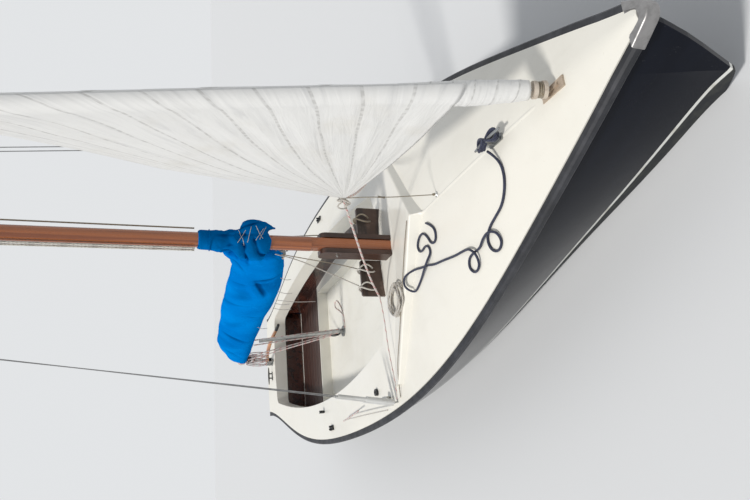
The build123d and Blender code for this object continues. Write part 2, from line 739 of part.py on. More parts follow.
mooring_rope = tube(lay(ROPE, rope_r), rope_r)
export(mooring_rope, "mooring_rope")
coil_ends = [top_of(coil_x + turn * coil_long, coil_y) for turn in (1, -1)]
coil_sides = [top_of(coil_x, coil_y + turn * coil_wide) for turn in (1, -1)]
coil_pitch = degrees(atan2(coil_ends[1] - coil_ends[0], 2 * coil_long))
coil_roll = degrees(atan2(coil_sides[0] - coil_sides[1], 2 * coil_wide))
ring = scale(Torus(coil_wide, coil_r), by=(coil_long / coil_wide, 1, 1))
coil_z = sum(coil_ends) / 2 + coil_r + coil_lift
export(Pos(coil_x, coil_y, coil_z) * Rot(coil_roll, coil_pitch, 0) * ring, "sheet_coil")

# Boom on its gooseneck, turned to its place at rest


def boomed(shape):
    """Turns a piece of the boom, drawn level along -X from the gooseneck, to its slope and swing at rest."""
    return Pos(gooseneck_x, 0, gooseneck_z) * Rot(0, 0, boom_swing_at_rest) * Rot(0, -boom_drop_deg, 0) * shape


def boom_run(start, end, radius):
    """Round length of the boom between two distances from the gooseneck."""
    return Pos(-(start + end) / 2, 0, 0) * Rot(0, 90, 0) * Cylinder(radius, end - start)


pin_length = gooseneck_high + 30
bracket = slab(gooseneck_x - 18, mast_x - mast_r + 6, -18, 18, gooseneck_z - gooseneck_high / 2 - 10,
               gooseneck_z - gooseneck_high / 2)
bracket += slab(gooseneck_x - 18, mast_x - mast_r + 6, -18, 18, gooseneck_z + gooseneck_high / 2,
                gooseneck_z + gooseneck_high / 2 + 10)
bracket += slab(mast_x - mast_r - 3, mast_x - mast_r + 6, -18, 18, gooseneck_z - gooseneck_high / 2 - 10,
                gooseneck_z + gooseneck_high / 2 + 10)
bracket += Pos(gooseneck_x, 0, gooseneck_z) * Cylinder(gooseneck_pin_r, pin_length)
export(bracket - mast, "gooseneck_bracket")
eye_high = gooseneck_high - 1
fork = Pos(gooseneck_x, 0, gooseneck_z) * Cylinder(14, eye_high)
fork += boomed(boom_run(10, fork_long, 16)) + boomed(boom_run(fork_long - 8, fork_long, boom_r))
fork -= Pos(gooseneck_x, 0, gooseneck_z) * Cylinder(gooseneck_pin_r + stock_gap, 200)
fork -= Pos(gooseneck_x, 0, gooseneck_z + eye_high / 2 + 40) * Cylinder(40, 80)
fork -= Pos(gooseneck_x, 0, gooseneck_z - eye_high / 2 - 40) * Cylinder(40, 80)
export(fork, "gooseneck_fork")
spar = boomed(boom_run(fork_long, boom_length, boom_r))
export(spar, "boom")
end_block = boomed(Pos(-boom_sheet_at, 0, -boom_r) * Rot(180, 0, 90) * block(26, 26))
export(end_block - spar, "boom_end_block")

# Stations of the sail cover: distance from the gooseneck, width, lowest and highest place about the boom
COVER = [
    (230, 200, -70, 330),
    (700, 205, -82, 322),
    (1500, 195, -92, 322),
    (2250, 170, -80, 305),
    (2700, 150, -66, 285),
    (2920, 110, -50, 190),
]
cover_low = min(row[2] for row in COVER)

# Prop that holds the boom up, and the block on the cockpit floor
prop_share = (gooseneck_x - prop_x) / cos(radians(boom_swing_at_rest))
prop_top = gooseneck_z - prop_share * tan(radians(boom_drop_deg)) + cover_low / cos(radians(boom_drop_deg)) - prop_clear
prop_y = -(gooseneck_x - prop_x) * tan(radians(boom_swing_at_rest))
base = Pos(floor_base_x, floor_base_y, floor_top + 6) * Cylinder(52, 12)
base += Pos(floor_base_x, floor_base_y, floor_top + 26) * Cylinder(24, 30)
prop = rod(Vector(floor_base_x, floor_base_y, floor_top + 41), Vector(prop_x, prop_y, prop_top), prop_r)
export(base, "mainsheet_base")
export(prop - slab(-2500, 0, -500, 500, prop_top - 2, 2000) - base, "boom_prop")
arm = slab(floor_base_x - 150, floor_base_x - 20, floor_base_y - 12, floor_base_y + 12, floor_top + 14, floor_top + 24)
arm += Pos(floor_base_x - 150, floor_base_y, floor_top + 22) * block(30, 30)
export(arm - base, "swivel_block")
tail = [Vector(x, y, floor_top + sheet_r + rope_lift) for x, y in MAINSHEET_TAIL]
export(tube(tail, sheet_r), "mainsheet_tail")

# Sail cover: the long part on the boom and the collar on the mast, both closed solids


def cover_section(row):
    """Section of the cover at a distance from the gooseneck: width, lowest and highest place about the boom."""
    reach, wide, low, high = row
    plane = Plane((-reach, 0, (low + high) / 2), x_dir=(0, 1, 0), z_dir=(-1, 0, 0))
    return plane * RectangleRounded(wide, high - low, wide * 0.42)


cover = boomed(loft([cover_section(row) for row in COVER]) - boom_run(0, 4000, boom_r + rig_gap))
export(largest(cover), "sail_cover")
collar_split = collar_low + (collar_high - collar_low) * 0.5
collar = Pos(mast_x + 12, 0, (collar_low + collar_split) / 2) * Cone(collar_low_r, collar_high_r, collar_split - collar_low)
collar += Pos(mast_x + 12, 0, (collar_split + collar_high) / 2) * Cylinder(collar_high_r, collar_high - collar_split)
collar = collar - slab(mast_x - 400, mast_x - mast_r - collar_back, -300, 300, 1000, 2500)
collar = collar - Pos(mast_x, 0, 2000) * Cylinder(mast_r + rig_gap, 3000) - track
collar = collar - slab(mast_x - 400, mast_x, -30, 30, gooseneck_z - 100, gooseneck_z + 120)
export(largest(collar), "mast_collar")

for name, shape in MODEL.items():
    box = shape.bounding_box()
    print(name, round(shape.volume / 1e6, 2), "litres", [round(v) for v in (*box.min, *box.max)])
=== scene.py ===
"""Small open keelboat lying afloat: finishes, cloth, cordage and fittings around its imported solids."""

import logging
from dataclasses import dataclass
from enum import Enum

import bpy
import numpy as np
from mathutils import Matrix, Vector
from mathutils.bvhtree import BVHTree


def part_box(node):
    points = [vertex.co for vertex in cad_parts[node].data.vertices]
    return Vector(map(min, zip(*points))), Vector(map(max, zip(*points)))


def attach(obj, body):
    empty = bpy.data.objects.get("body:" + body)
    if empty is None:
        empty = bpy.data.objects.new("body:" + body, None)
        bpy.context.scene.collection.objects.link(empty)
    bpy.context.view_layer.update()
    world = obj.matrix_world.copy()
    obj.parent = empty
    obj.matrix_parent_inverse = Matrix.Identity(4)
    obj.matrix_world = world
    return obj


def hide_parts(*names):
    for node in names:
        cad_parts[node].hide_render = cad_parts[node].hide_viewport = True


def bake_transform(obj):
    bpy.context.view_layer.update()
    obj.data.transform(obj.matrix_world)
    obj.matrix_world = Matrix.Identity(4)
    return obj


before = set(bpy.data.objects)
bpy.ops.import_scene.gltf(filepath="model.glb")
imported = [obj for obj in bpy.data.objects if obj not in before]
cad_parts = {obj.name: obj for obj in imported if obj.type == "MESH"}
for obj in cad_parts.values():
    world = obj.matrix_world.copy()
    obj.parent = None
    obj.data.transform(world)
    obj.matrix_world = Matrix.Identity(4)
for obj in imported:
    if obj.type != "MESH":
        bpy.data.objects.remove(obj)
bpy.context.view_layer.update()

log = logging.getLogger("keelboat")
Array = np.ndarray
Piece = bpy.types.Object
Socket = bpy.types.NodeSocket
Colour = tuple[float, float, float]
Point = tuple[float, float, float]
FULL_TURN = 6.2832


class Graph:
    """Node tree of one finish, written as a chain of calls that return sockets."""

    def __init__(self, name: str) -> None:
        """Starts a material with one principled shader.

        Args:
            name: name of the material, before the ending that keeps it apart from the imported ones.
        """
        self.material = bpy.data.materials.new(name + "_finish")
        self.material.use_nodes = True
        self.tree = self.material.node_tree
        self.tree.nodes.clear()
        self.shader = self.tree.nodes.new("ShaderNodeBsdfPrincipled")
        end = self.tree.nodes.new("ShaderNodeOutputMaterial")
        self.tree.links.new(self.shader.outputs["BSDF"], end.inputs["Surface"])

    def node(self, kind: str, **inputs: object) -> bpy.types.Node:
        """Adds a node and fills its inputs.

        Args:
            kind: node type without its ShaderNode prefix.
            inputs: value or socket for each input, its name with underscores for spaces.

        Returns:
            The new node.
        """
        made = self.tree.nodes.new("ShaderNode" + kind)
        for key, value in inputs.items():
            self.fill(made.inputs[key.replace("_", " ")], value)
        return made

    def fill(self, target: Socket, value: object) -> None:
        """Links a socket to an input, or sets its value."""
        if isinstance(value, bpy.types.NodeSocket):
            self.tree.links.new(value, target)
        elif isinstance(value, tuple) and len(value) == 3 and target.type == "RGBA":
            target.default_value = (*value, 1.0)
        else:
            target.default_value = value

    def surface(self, **inputs: object) -> None:
        """Fills inputs of the principled shader."""
        for key, value in inputs.items():
            self.fill(self.shader.inputs[key.replace("_", " ")], value)

    def place(self, scale: Point = (1, 1, 1)) -> Socket:
        """Object coordinates, scaled."""
        return self.node("Mapping", Vector=self.node("TexCoord").outputs["Object"], Scale=scale).outputs[0]

    def cloth_place(self, scale: Point = (1, 1, 1)) -> Socket:
        """The piece's own UV coordinates, scaled."""
        return self.node("Mapping", Vector=self.node("TexCoord").outputs["UV"], Scale=scale).outputs[0]

    def split(self, vector: Socket) -> tuple[Socket, Socket, Socket]:
        """X, Y and Z of a vector."""
        made = self.node("SeparateXYZ", Vector=vector)
        return made.outputs[0], made.outputs[1], made.outputs[2]

    def noise(self, vector: Socket, scale: float, detail: float = 3.0, rough: float = 0.5, warp: float = 0.0) -> Socket:
        """Grey noise from 0 to 1."""
        return self.node("TexNoise", Vector=vector, Scale=scale, Detail=detail, Roughness=rough,
                         Distortion=warp).outputs[0]

    def maths(self, kind: str, first: object, second: object = 0.0, third: object = 0.0) -> Socket:
        """One sum on up to three numbers."""
        made = self.tree.nodes.new("ShaderNodeMath")
        made.operation = kind
        for slot, value in zip(made.inputs, (first, second, third)):
            self.fill(slot, value)
        return made.outputs[0]

    def band(self, value: Socket, low: float, high: float, start: float = 0.0, stop: float = 1.0) -> Socket:
        """Smooth step of a value from start at low to stop at high."""
        made = self.node("MapRange", Value=value)
        made.interpolation_type = "SMOOTHSTEP"
        for key, number in (("From Min", low), ("From Max", high), ("To Min", start), ("To Max", stop)):
            made.inputs[key].default_value = number
        return made.outputs[0]

    def mix(self, share: object, first: object, second: object) -> Socket:
        """Colour between two colours."""
        made = self.tree.nodes.new("ShaderNodeMix")
        made.data_type = "RGBA"  # its share is input 0, and its two colours are inputs 6 and 7
        self.fill(made.inputs[0], share)
        self.fill(made.inputs[6], first)
        self.fill(made.inputs[7], second)
        return made.outputs[2]

    def bump(self, height: Socket, depth: float, strength: float = 1.0) -> None:
        """Sets the shader's normal from a height, whose full range is depth metres."""
        made = self.node("Bump", Height=height, Distance=depth, Strength=strength)
        self.surface(Normal=made.outputs[0])


@dataclass(frozen=True)
class HullPaint:
    """Near-black gloss topsides with a thin boot stripe, dull bottom paint under it and a worn stem."""

    name: str = "hull_topside"
    topside: Colour = (0.0046, 0.0062, 0.0118)
    stripe: Colour = (0.78, 0.78, 0.74)
    bottom: Colour = (0.036, 0.038, 0.042)
    stripe_low: float = 0.108
    stripe_high: float = 0.131

    def material(self) -> bpy.types.Material:
        """Makes the paint from the height over the water and a little noise."""
        g = Graph(self.name)
        place = g.place()
        x, _, z = g.split(place)
        haze = g.noise(g.place((0.6, 0.6, 3.0)), 2.2, 4.0)
        top = g.mix(g.band(haze, 0.45, 0.85), self.topside, tuple(c * 1.5 for c in self.topside))
        scuff = g.maths("MULTIPLY", g.band(g.noise(g.place((1, 1, 0.22)), 60.0, 5.0, 0.7), 0.63, 0.76),
                        g.band(x, 3.02, 3.23))
        top = g.mix(g.maths("MULTIPLY", scuff, 0.55), top, (0.36, 0.36, 0.35))
        edge = g.maths("MULTIPLY", g.noise(place, 55.0, 2.0), 0.0025)
        level = g.maths("ADD", z, edge)
        grime = g.mix(g.band(g.noise(place, 9.0, 4.0), 0.5, 0.75), self.stripe, (0.50, 0.48, 0.40))
        low = g.mix(g.band(g.noise(place, 14.0, 5.0, 0.65), 0.4, 0.7), self.bottom, (0.060, 0.062, 0.058))
        body = g.mix(g.band(level, self.stripe_low - 0.001, self.stripe_low + 0.001), low, grime)
        body = g.mix(g.band(level, self.stripe_high - 0.001, self.stripe_high + 0.001), body, top)
        dull = g.band(z, self.stripe_low - 0.004, self.stripe_high, 0.62, 0.085)
        g.surface(Base_Color=body, Roughness=g.maths("ADD", dull, g.band(haze, 0.4, 0.9, 0.0, 0.05)), IOR=1.5,
                  Specular_IOR_Level=0.07)
        g.bump(g.noise(g.place((1, 1, 1.6)), 3.0, 2.0), 0.004, 0.10)
        return g.material


@dataclass(frozen=True)
class Gelcoat:
    """Cream-white moulded gelcoat: a soft gloss, faint dirt in broad clouds and fine pits."""

    name: str = "deck_gelcoat"
    colour: Colour = (0.845, 0.820, 0.742)
    stain: Colour = (0.60, 0.57, 0.49)
    stain_share: float = 0.22
    gloss: float = 0.30

    def material(self) -> bpy.types.Material:
        """Makes the moulding's skin from broad stains, fine specks and a grained surface."""
        g = Graph(self.name)
        place = g.place()
        cloud = g.band(g.noise(place, 1.7, 5.0, 0.6), 0.42, 0.75, 0.0, self.stain_share)
        streak = g.band(g.noise(g.place((1.0, 5.0, 5.0)), 2.4, 4.0), 0.55, 0.85, 0.0, self.stain_share * 0.6)
        base = g.mix(g.maths("ADD", cloud, streak), self.colour, self.stain)
        speck = g.band(g.noise(place, 130.0, 2.0), 0.70, 0.78, 0.0, 0.35)
        base = g.mix(speck, base, (0.42, 0.38, 0.30))
        rough = g.band(g.noise(place, 6.0, 4.0), 0.35, 0.75, self.gloss, self.gloss + 0.16)
        g.surface(Base_Color=base, Roughness=rough, IOR=1.48, Coat_Weight=0.12, Coat_Roughness=0.12)
        g.bump(g.noise(place, 240.0, 2.0), 0.0006, 0.22)
        return g.material


@dataclass(frozen=True)
class Timber:
    """Varnished wood with its grain drawn out along one axis."""

    name: str
    light: Colour
    dark: Colour
    grain: Point = (14.0, 14.0, 0.7)
    gloss: float = 0.16
    coat: float = 0.6
    wear: float = 0.0

    def material(self) -> bpy.types.Material:
        """Makes grain from long rings and fine pores, with pale worn patches where the varnish has gone."""
        g = Graph(self.name)
        place = g.place(self.grain)
        rings = g.node("TexWave", Vector=place, Scale=1.1, Distortion=7.0, Detail=3.0, Detail_Scale=1.2).outputs[1]
        pores = g.noise(g.place(tuple(a * 6 for a in self.grain)), 3.2, 3.0, 0.7)
        tone = g.maths("MULTIPLY_ADD", rings, 0.55, g.maths("MULTIPLY", pores, 0.5))
        base = g.mix(g.band(tone, 0.22, 0.92), self.light, self.dark)
        patch = g.band(g.noise(g.place(), 5.0, 5.0, 0.65), 0.60, 0.74, 0.0, self.wear)
        base = g.mix(patch, base, tuple(min(1.0, c * 2.1 + 0.07) for c in self.light))
        g.surface(Base_Color=base, Roughness=g.maths("ADD", g.band(pores, 0.3, 0.8, self.gloss, self.gloss + 0.14),
                                                     g.maths("MULTIPLY", patch, 0.3)),
                  Coat_Weight=self.coat, Coat_Roughness=0.09, IOR=1.5)
        g.bump(g.maths("ADD", rings, pores), 0.0008, 0.25)
        return g.material


@dataclass(frozen=True)
class Metal:
    """Bare metal with fine scratches, dull patches and an optional stain of rust."""

    name: str
    colour: Colour
    rough: float = 0.32
    rust: float = 0.0
    metallic: float = 1.0

    def material(self) -> bpy.types.Material:
        """Makes the metal from scratches along one way and clouds of dullness."""
        g = Graph(self.name)
        place = g.place()
        scratch = g.noise(g.place((3.0, 40.0, 40.0)), 8.0, 3.0)
        cloud = g.noise(place, 26.0, 5.0, 0.6)
        base = g.mix(g.band(cloud, 0.3, 0.8), self.colour, tuple(c * 0.66 for c in self.colour))
        spots = g.band(g.noise(place, 34.0, 6.0, 0.7), 0.54, 0.68, 0.0, self.rust)
        base = g.mix(spots, base, (0.20, 0.075, 0.025))
        g.surface(Base_Color=base, Metallic=self.metallic,
                  Roughness=g.maths("ADD", g.band(cloud, 0.3, 0.8, self.rough, self.rough + 0.18),
                                    g.maths("MULTIPLY", spots, 0.4)))
        g.bump(g.maths("ADD", scratch, cloud), 0.0005, 0.3)
        return g.material


@dataclass(frozen=True)
class Moulded:
    """Rubber, plastic or dull paint: one colour with a grained, slightly chalky skin."""

    name: str
    colour: Colour
    chalk: Colour
    rough: float = 0.5
    chalk_share: float = 0.5
    grain: float = 160.0

    def material(self) -> bpy.types.Material:
        """Makes the skin from clouds of chalk and a fine grain."""
        g = Graph(self.name)
        place = g.place()
        cloud = g.band(g.noise(place, 7.0, 6.0, 0.65), 0.38, 0.72, 0.0, self.chalk_share)
        g.surface(Base_Color=g.mix(cloud, self.colour, self.chalk),
                  Roughness=g.band(g.noise(place, 18.0, 3.0), 0.3, 0.8, self.rough, self.rough + 0.15), IOR=1.45)
        g.bump(g.noise(place, self.grain, 3.0), 0.0008, 0.3)
        return g.material


@dataclass(frozen=True)
class Canvas:
    """Acrylic cover cloth: a fine plain weave, ridges paled by sun and given painted highlight, painted shade on the
    hood and in the folds, and a dry surface.
    """

    name: str = "cover_cloth"
    colour: Colour = (0.0, 0.226, 0.69)
    deep: Colour = (0.0, 0.168, 0.56)
    ridge_pale_and_highlight: Colour = (0.005, 0.262, 0.77)
    painted_hood_shade: Colour = (0.0, 0.058, 0.180)
    shade: Colour = (0.0, 0.040, 0.16)

    def material(self) -> bpy.types.Material:
        """Makes the cloth from a fine weave, creases and broad fading, with painted highlight on the crease ridges,
        painted shade on the hood and painted shade in the folds.
        """
        g = Graph(self.name)
        place = g.place()
        fade = g.noise(place, 2.6, 4.0)
        base = g.mix(g.band(fade, 0.35, 0.7), self.deep, self.colour)
        crease = g.noise(g.place((1.0, 1.0, 0.6)), 16.0, 5.0, 0.6, 1.2)
        # Raised crease ridges paler: partly sun fading, partly a painted highlight on the relief.
        base = g.mix(g.band(crease, 0.56, 0.78, 0.0, 0.6), base, self.ridge_pale_and_highlight)
        # Painted shade: the hood, its tube and the flap round the mast are darkened as if turned away from the light,
        # with the crease relief breaking up the edge.
        hood = g.maths("MULTIPLY_ADD", crease, 0.16, g.split(place)[0])
        base = g.mix(g.band(hood, 0.81, 0.99, 0.0, 0.66), base, self.painted_hood_shade)
        # Painted shade: the stored fold height darkens the valleys of the pressed folds.
        fold = g.node("Attribute")
        fold.attribute_name = "fold"
        base = g.mix(g.band(fold.outputs["Fac"], -0.015, -0.002, 0.92, 0.0), base, self.shade)
        weft = g.noise(g.place((160, 160, 900)), 1.0, 1.0)
        weave = g.maths("MULTIPLY", g.noise(g.place((900, 900, 160)), 1.0, 1.0), weft)
        g.surface(Base_Color=base, Roughness=0.9, Specular_IOR_Level=0.0)
        g.bump(g.maths("MULTIPLY_ADD", crease, 1.0, g.maths("MULTIPLY", weave, 0.12)), 0.012, 0.30)
        return g.material


@dataclass(frozen=True)
class Sailcloth:
    """Off-white woven polyester with stitched seams fanning from the clew and painted grey shade in soft creases."""

    name: str = "sail_cloth"
    colour: Colour = (0.79, 0.785, 0.765)
    crease: Colour = (0.58, 0.58, 0.575)
    seam: Colour = (0.36, 0.35, 0.33)
    panels: float = 13.0

    def material(self) -> bpy.types.Material:
        """Makes the cloth; U runs from foot to head along the luff and V from luff to clew."""
        g = Graph(self.name)
        panel = g.maths("MULTIPLY", g.split(g.cloth_place())[0], self.panels)
        wander = g.maths("MULTIPLY_ADD", g.noise(g.cloth_place((9, 3, 1)), 2.0, 2.0), 0.10, panel)
        turn = g.maths("FRACT", wander)
        from_seam = g.maths("ABSOLUTE", g.maths("SUBTRACT", turn, 0.5))
        dash = g.band(g.noise(g.cloth_place((60, 60, 1)), 1.0, 2.0), 0.40, 0.60, 0.35, 1.0)
        line = g.maths("MULTIPLY", g.band(from_seam, 0.450, 0.474), dash)
        soft = g.noise(g.cloth_place((26, 2.2, 1)), 2.0, 5.0, 0.6, 0.8)
        # Painted shade: soft grey where the crease relief of the bump runs.
        base = g.mix(g.band(soft, 0.48, 0.80, 0.0, 0.55), self.colour, self.crease)
        dirt = g.band(g.noise(g.place(), 3.5, 5.0, 0.6), 0.50, 0.80, 0.0, 0.30)
        base = g.mix(dirt, base, (0.55, 0.50, 0.40))
        base = g.mix(g.maths("MULTIPLY", line, 0.50), base, self.seam)
        weave = g.noise(g.place((700, 700, 700)), 1.0, 1.0)
        g.surface(Base_Color=base, Roughness=0.58, Sheen_Weight=0.10, Sheen_Roughness=0.4)
        g.bump(g.maths("MULTIPLY_ADD", soft, 1.0, g.maths("MULTIPLY", weave, 0.05)), 0.010, 0.42)
        return g.material


@dataclass(frozen=True)
class Braid:
    """Braided rope: strands cross in two ways, with flecks in a second colour.

    U runs in metres along the rope and V once round it.
    """

    name: str
    colour: Colour
    shade: Colour
    fleck: Colour
    fleck_share: float = 0.0
    pitch: float = 0.011
    strands: float = 8.0

    def material(self) -> bpy.types.Material:
        """Makes the braid from two sets of helices, of which the higher one shows."""
        g = Graph(self.name)
        u, v, _ = g.split(g.cloth_place())
        along = g.maths("MULTIPLY", u, FULL_TURN / self.pitch)
        round_ = g.maths("MULTIPLY", v, FULL_TURN * self.strands / 2)
        left = g.maths("SINE", g.maths("ADD", along, round_))
        right = g.maths("SINE", g.maths("SUBTRACT", along, round_))
        over = g.maths("MAXIMUM", left, right)
        base = g.mix(g.band(over, 0.0, 0.95), self.shade, self.colour)
        mark = g.band(g.maths("SINE", g.maths("MULTIPLY", g.maths("ADD", along, round_), 0.25)), 0.72, 0.80, 0.0,
                      self.fleck_share)
        base = g.mix(mark, base, self.fleck)
        g.surface(Base_Color=base, Roughness=0.78, Sheen_Weight=0.15, Sheen_Roughness=0.5)
        g.bump(over, 0.0012, 0.7)
        return g.material


Finish = HullPaint | Gelcoat | Timber | Metal | Moulded | Canvas | Sailcloth | Braid


def unit(rows: Array) -> Array:
    """Each row scaled to length one."""
    return rows / np.maximum(np.linalg.norm(rows, axis=-1, keepdims=True), 1e-12)


def runs(points: Array) -> Array:
    """Distance along a line of points up to each of them."""
    return np.concatenate([[0.0], np.cumsum(np.linalg.norm(np.diff(points, axis=0), axis=1))])


def resample(points: Array, count: int) -> Array:
    """Points spaced evenly along a line, by linear steps between the given ones."""
    at = runs(points)
    where = np.linspace(0.0, at[-1], count)
    return np.stack([np.interp(where, at, points[:, k]) for k in range(3)], axis=1)


def smooth_line(points: list[Point], count: int) -> Array:
    """Smooth line through a few points: a centripetal spline, then even spacing.

    Args:
        points: places that the line passes through.
        count: number of points returned.

    Returns:
        Array of count points.
    """
    given = np.array(points, float)
    padded = np.vstack([2 * given[0] - given[1], given, 2 * given[-1] - given[-2]])
    step = np.maximum(np.linalg.norm(np.diff(padded, axis=0), axis=1) ** 0.5, 1e-6)
    knots = np.concatenate([[0.0], np.cumsum(step)])
    where = np.linspace(knots[1], knots[-2] - 1e-9, max(count * 4, 40))
    seat = np.clip(np.searchsorted(knots, where, side="right") - 1, 1, len(padded) - 3)
    k0, k1, k2, k3 = (knots[seat + n][:, None] for n in (-1, 0, 1, 2))
    p0, p1, p2, p3 = (padded[seat + n] for n in (-1, 0, 1, 2))
    t = where[:, None]
    a1 = (k1 - t) / (k1 - k0) * p0 + (t - k0) / (k1 - k0) * p1
    a2 = (k2 - t) / (k2 - k1) * p1 + (t - k1) / (k2 - k1) * p2
    a3 = (k3 - t) / (k3 - k2) * p2 + (t - k2) / (k3 - k2) * p3
    b1 = (k2 - t) / (k2 - k0) * a1 + (t - k0) / (k2 - k0) * a2
    b2 = (k3 - t) / (k3 - k1) * a2 + (t - k1) / (k3 - k1) * a3
    return resample((k2 - t) / (k2 - k1) * b1 + (t - k1) / (k2 - k1) * b2, count)


def make_piece(name: str, points: Array, faces: list[list[int]], uv: Array | None = None,
               smooth: bool = True) -> Piece:
    """Mesh object at the origin from arrays.

    Args:
        name: piece name.
        points: vertex places, one row each, in metres.
        faces: vertex numbers of each face.
        uv: one UV pair for each corner of each face, in the faces' order.
        smooth: whether it is shaded smooth.

    Returns:
        The new object, linked to the scene.
    """
    mesh = bpy.data.meshes.new(name)
    mesh.from_pydata(points.tolist(), [], faces)
    if uv is not None:
        mesh.uv_layers.new(name="UVMap").data.foreach_set("uv", uv.astype(np.float32).ravel())
    mesh.polygons.foreach_set("use_smooth", np.full(len(mesh.polygons), smooth))
    mesh.update()
    made = bpy.data.objects.new(name, mesh)
    bpy.context.scene.collection.objects.link(made)
    return made


def grid_faces(rows: int, columns: int, closed: bool, capped: bool) -> list[list[int]]:
    """Faces of a grid of rows by columns points.

    Args:
        rows: rows of points.
        columns: points in a row.
        closed: whether the last column joins the first.
        capped: whether the first and last rows are closed with fans, round two points numbered after the grid's own.

    Returns:
        The quads row by row, then both fans.
    """
    r = np.arange(rows - 1)[:, None]
    around = np.arange(columns if closed else columns - 1)
    after = (around + 1) % columns
    low, high = r * columns, (r + 1) * columns
    faces = np.stack([low + around, low + after, high + after, high + around], -1).reshape(-1, 4).tolist()
    if capped:
        middle, last = rows * columns, (rows - 1) * columns
        faces += np.stack([np.full_like(around, middle), after, around], -1).tolist()
        faces += np.stack([np.full_like(around, middle + 1), last + around, last + after], -1).tolist()
    return faces


def grid_piece(name: str, points: Array, closed: bool = False, capped: bool = False,
               uv: Array | None = None) -> Piece:
    """Surface from a grid of points.

    Args:
        name: piece name.
        points: array of rows by columns by 3.
        closed: whether the last column joins the first.
        capped: whether the first and last rows are closed with a fan to their middle.
        uv: array of rows by columns by 2, with one column more where the grid is closed, so that the pattern ends
            where it began instead of running back over the last column.

    Returns:
        The new object.
    """
    rows, columns = points.shape[:2]
    flat = points.reshape(-1, 3)
    if capped:
        flat = np.vstack([flat, points[0].mean(0), points[-1].mean(0)])
    corners = None
    if uv is not None:
        pairs = np.vstack([uv.reshape(-1, 2), uv[0, 0], uv[-1, -1]])
        corners = pairs[np.concatenate([np.ravel(face) for face in grid_faces(rows, uv.shape[1], False, capped)])]
    return make_piece(name, flat, grid_faces(rows, columns, closed, capped), corners)


def tube_grid(line: Array, radius: Array | float, sides: int = 10, up: Point = (0, 0, 1)) -> Array:
    """Rings round a line: each lies across the line's direction, with its first point turned towards up.

    Args:
        line: points along the middle.
        radius: one radius, or one for each point.
        sides: points in a ring.
        up: direction that no part of the line runs along.

    Returns:
        Array of len(line) by sides by 3.
    """
    along = unit(np.gradient(line, axis=0))
    side = unit(np.cross(along, np.array(up, float)))
    rise = np.cross(side, along)
    turn = np.linspace(0, 2 * np.pi, sides, endpoint=False)
    size = np.broadcast_to(np.asarray(radius, float), (len(line),))[:, None, None]
    ring = np.cos(turn)[None, :, None] * rise[:, None, :] + np.sin(turn)[None, :, None] * side[:, None, :]
    return line[:, None, :] + size * ring


def tube_piece(name: str, line: Array, radius: Array | float, sides: int = 10, up: Point = (0, 0, 1)) -> Piece:
    """Closed round tube along a line, with U in metres along it and V once round it."""
    points = tube_grid(line, radius, sides, up)
    u = np.broadcast_to(runs(line)[:, None], (len(line), sides + 1))
    v = np.broadcast_to(np.linspace(0, 1, sides + 1)[None, :], (len(line), sides + 1))
    return grid_piece(name, points, closed=True, capped=True, uv=np.stack([u, v], -1))


def turned(name: str, profile: Array, centre: Point, axis: Point = (0, 0, 1), sides: int = 32) -> Piece:
    """Round piece from a profile of (distance along the axis, radius) rows, turned about the axis through centre."""
    way = unit(np.array(axis, float))
    line = np.array(centre, float) + profile[:, :1] * way
    other = (1, 0, 0) if abs(way[2]) > 0.7 else (0, 0, 1)
    side = unit(np.cross(way, np.array(other, float)))
    rise = np.cross(side, way)
    turn = np.linspace(0, 2 * np.pi, sides, endpoint=False)
    ring = np.cos(turn)[:, None] * rise + np.sin(turn)[:, None] * side
    return grid_piece(name, line[:, None, :] + profile[:, 1][:, None, None] * ring[None], closed=True, capped=True)


def joined(name: str, parts: list[Piece]) -> Piece:
    """Joins meshes into one object with the first one's materials."""
    first = parts[0]
    with bpy.context.temp_override(active_object=first, object=first, selected_editable_objects=parts,
                                   selected_objects=parts):
        bpy.ops.object.join()
    first.name = name
    return first


def dress(piece: Piece, material: bpy.types.Material) -> Piece:
    """Gives a piece one material."""
    piece.data.materials.clear()
    piece.data.materials.append(material)
    return piece


def vertices(piece: Piece) -> Array:
    """The mesh's points as an array."""
    flat = np.zeros(len(piece.data.vertices) * 3)
    piece.data.vertices.foreach_get("co", flat)
    return flat.reshape(-1, 3)


def vertex_normals(piece: Piece) -> Array:
    """The mesh's point normals as an array."""
    flat = np.zeros(len(piece.data.vertices) * 3)
    piece.data.vertex_normals.foreach_get("vector", flat)
    return flat.reshape(-1, 3)


def place_vertices(piece: Piece, points: Array) -> None:
    """Moves the mesh's points."""
    piece.data.vertices.foreach_set("co", points.astype(np.float32).ravel())
    piece.data.update()


def bake(piece: Piece) -> None:
    """Puts the result of the piece's modifiers in its mesh."""
    bpy.context.view_layer.update()
    ready = piece.evaluated_get(bpy.context.evaluated_depsgraph_get())
    mesh = bpy.data.meshes.new_from_object(ready)
    piece.modifiers.clear()
    piece.data = mesh


def remesh(piece: Piece, voxel: float) -> None:
    """Makes one closed skin of even quads of the piece."""
    modifier = piece.modifiers.new("skin", "REMESH")
    modifier.mode = "VOXEL"
    modifier.voxel_size = voxel
    bake(piece)


def relax(piece: Piece, steps: int) -> None:
    """Smooths the mesh a few times."""
    modifier = piece.modifiers.new("relax", "SMOOTH")
    modifier.iterations = steps
    modifier.factor = 0.6
    bake(piece)


def subdivide(piece: Piece, levels: int) -> None:
    """Divides the mesh's faces smoothly."""
    modifier = piece.modifiers.new("fine", "SUBSURF")
    modifier.levels = levels
    modifier.render_levels = levels
    bake(piece)


def shade_smooth(piece: Piece) -> None:
    """Shades all faces smooth."""
    piece.data.polygons.foreach_set("use_smooth", np.ones(len(piece.data.polygons), bool))
    piece.data.update()


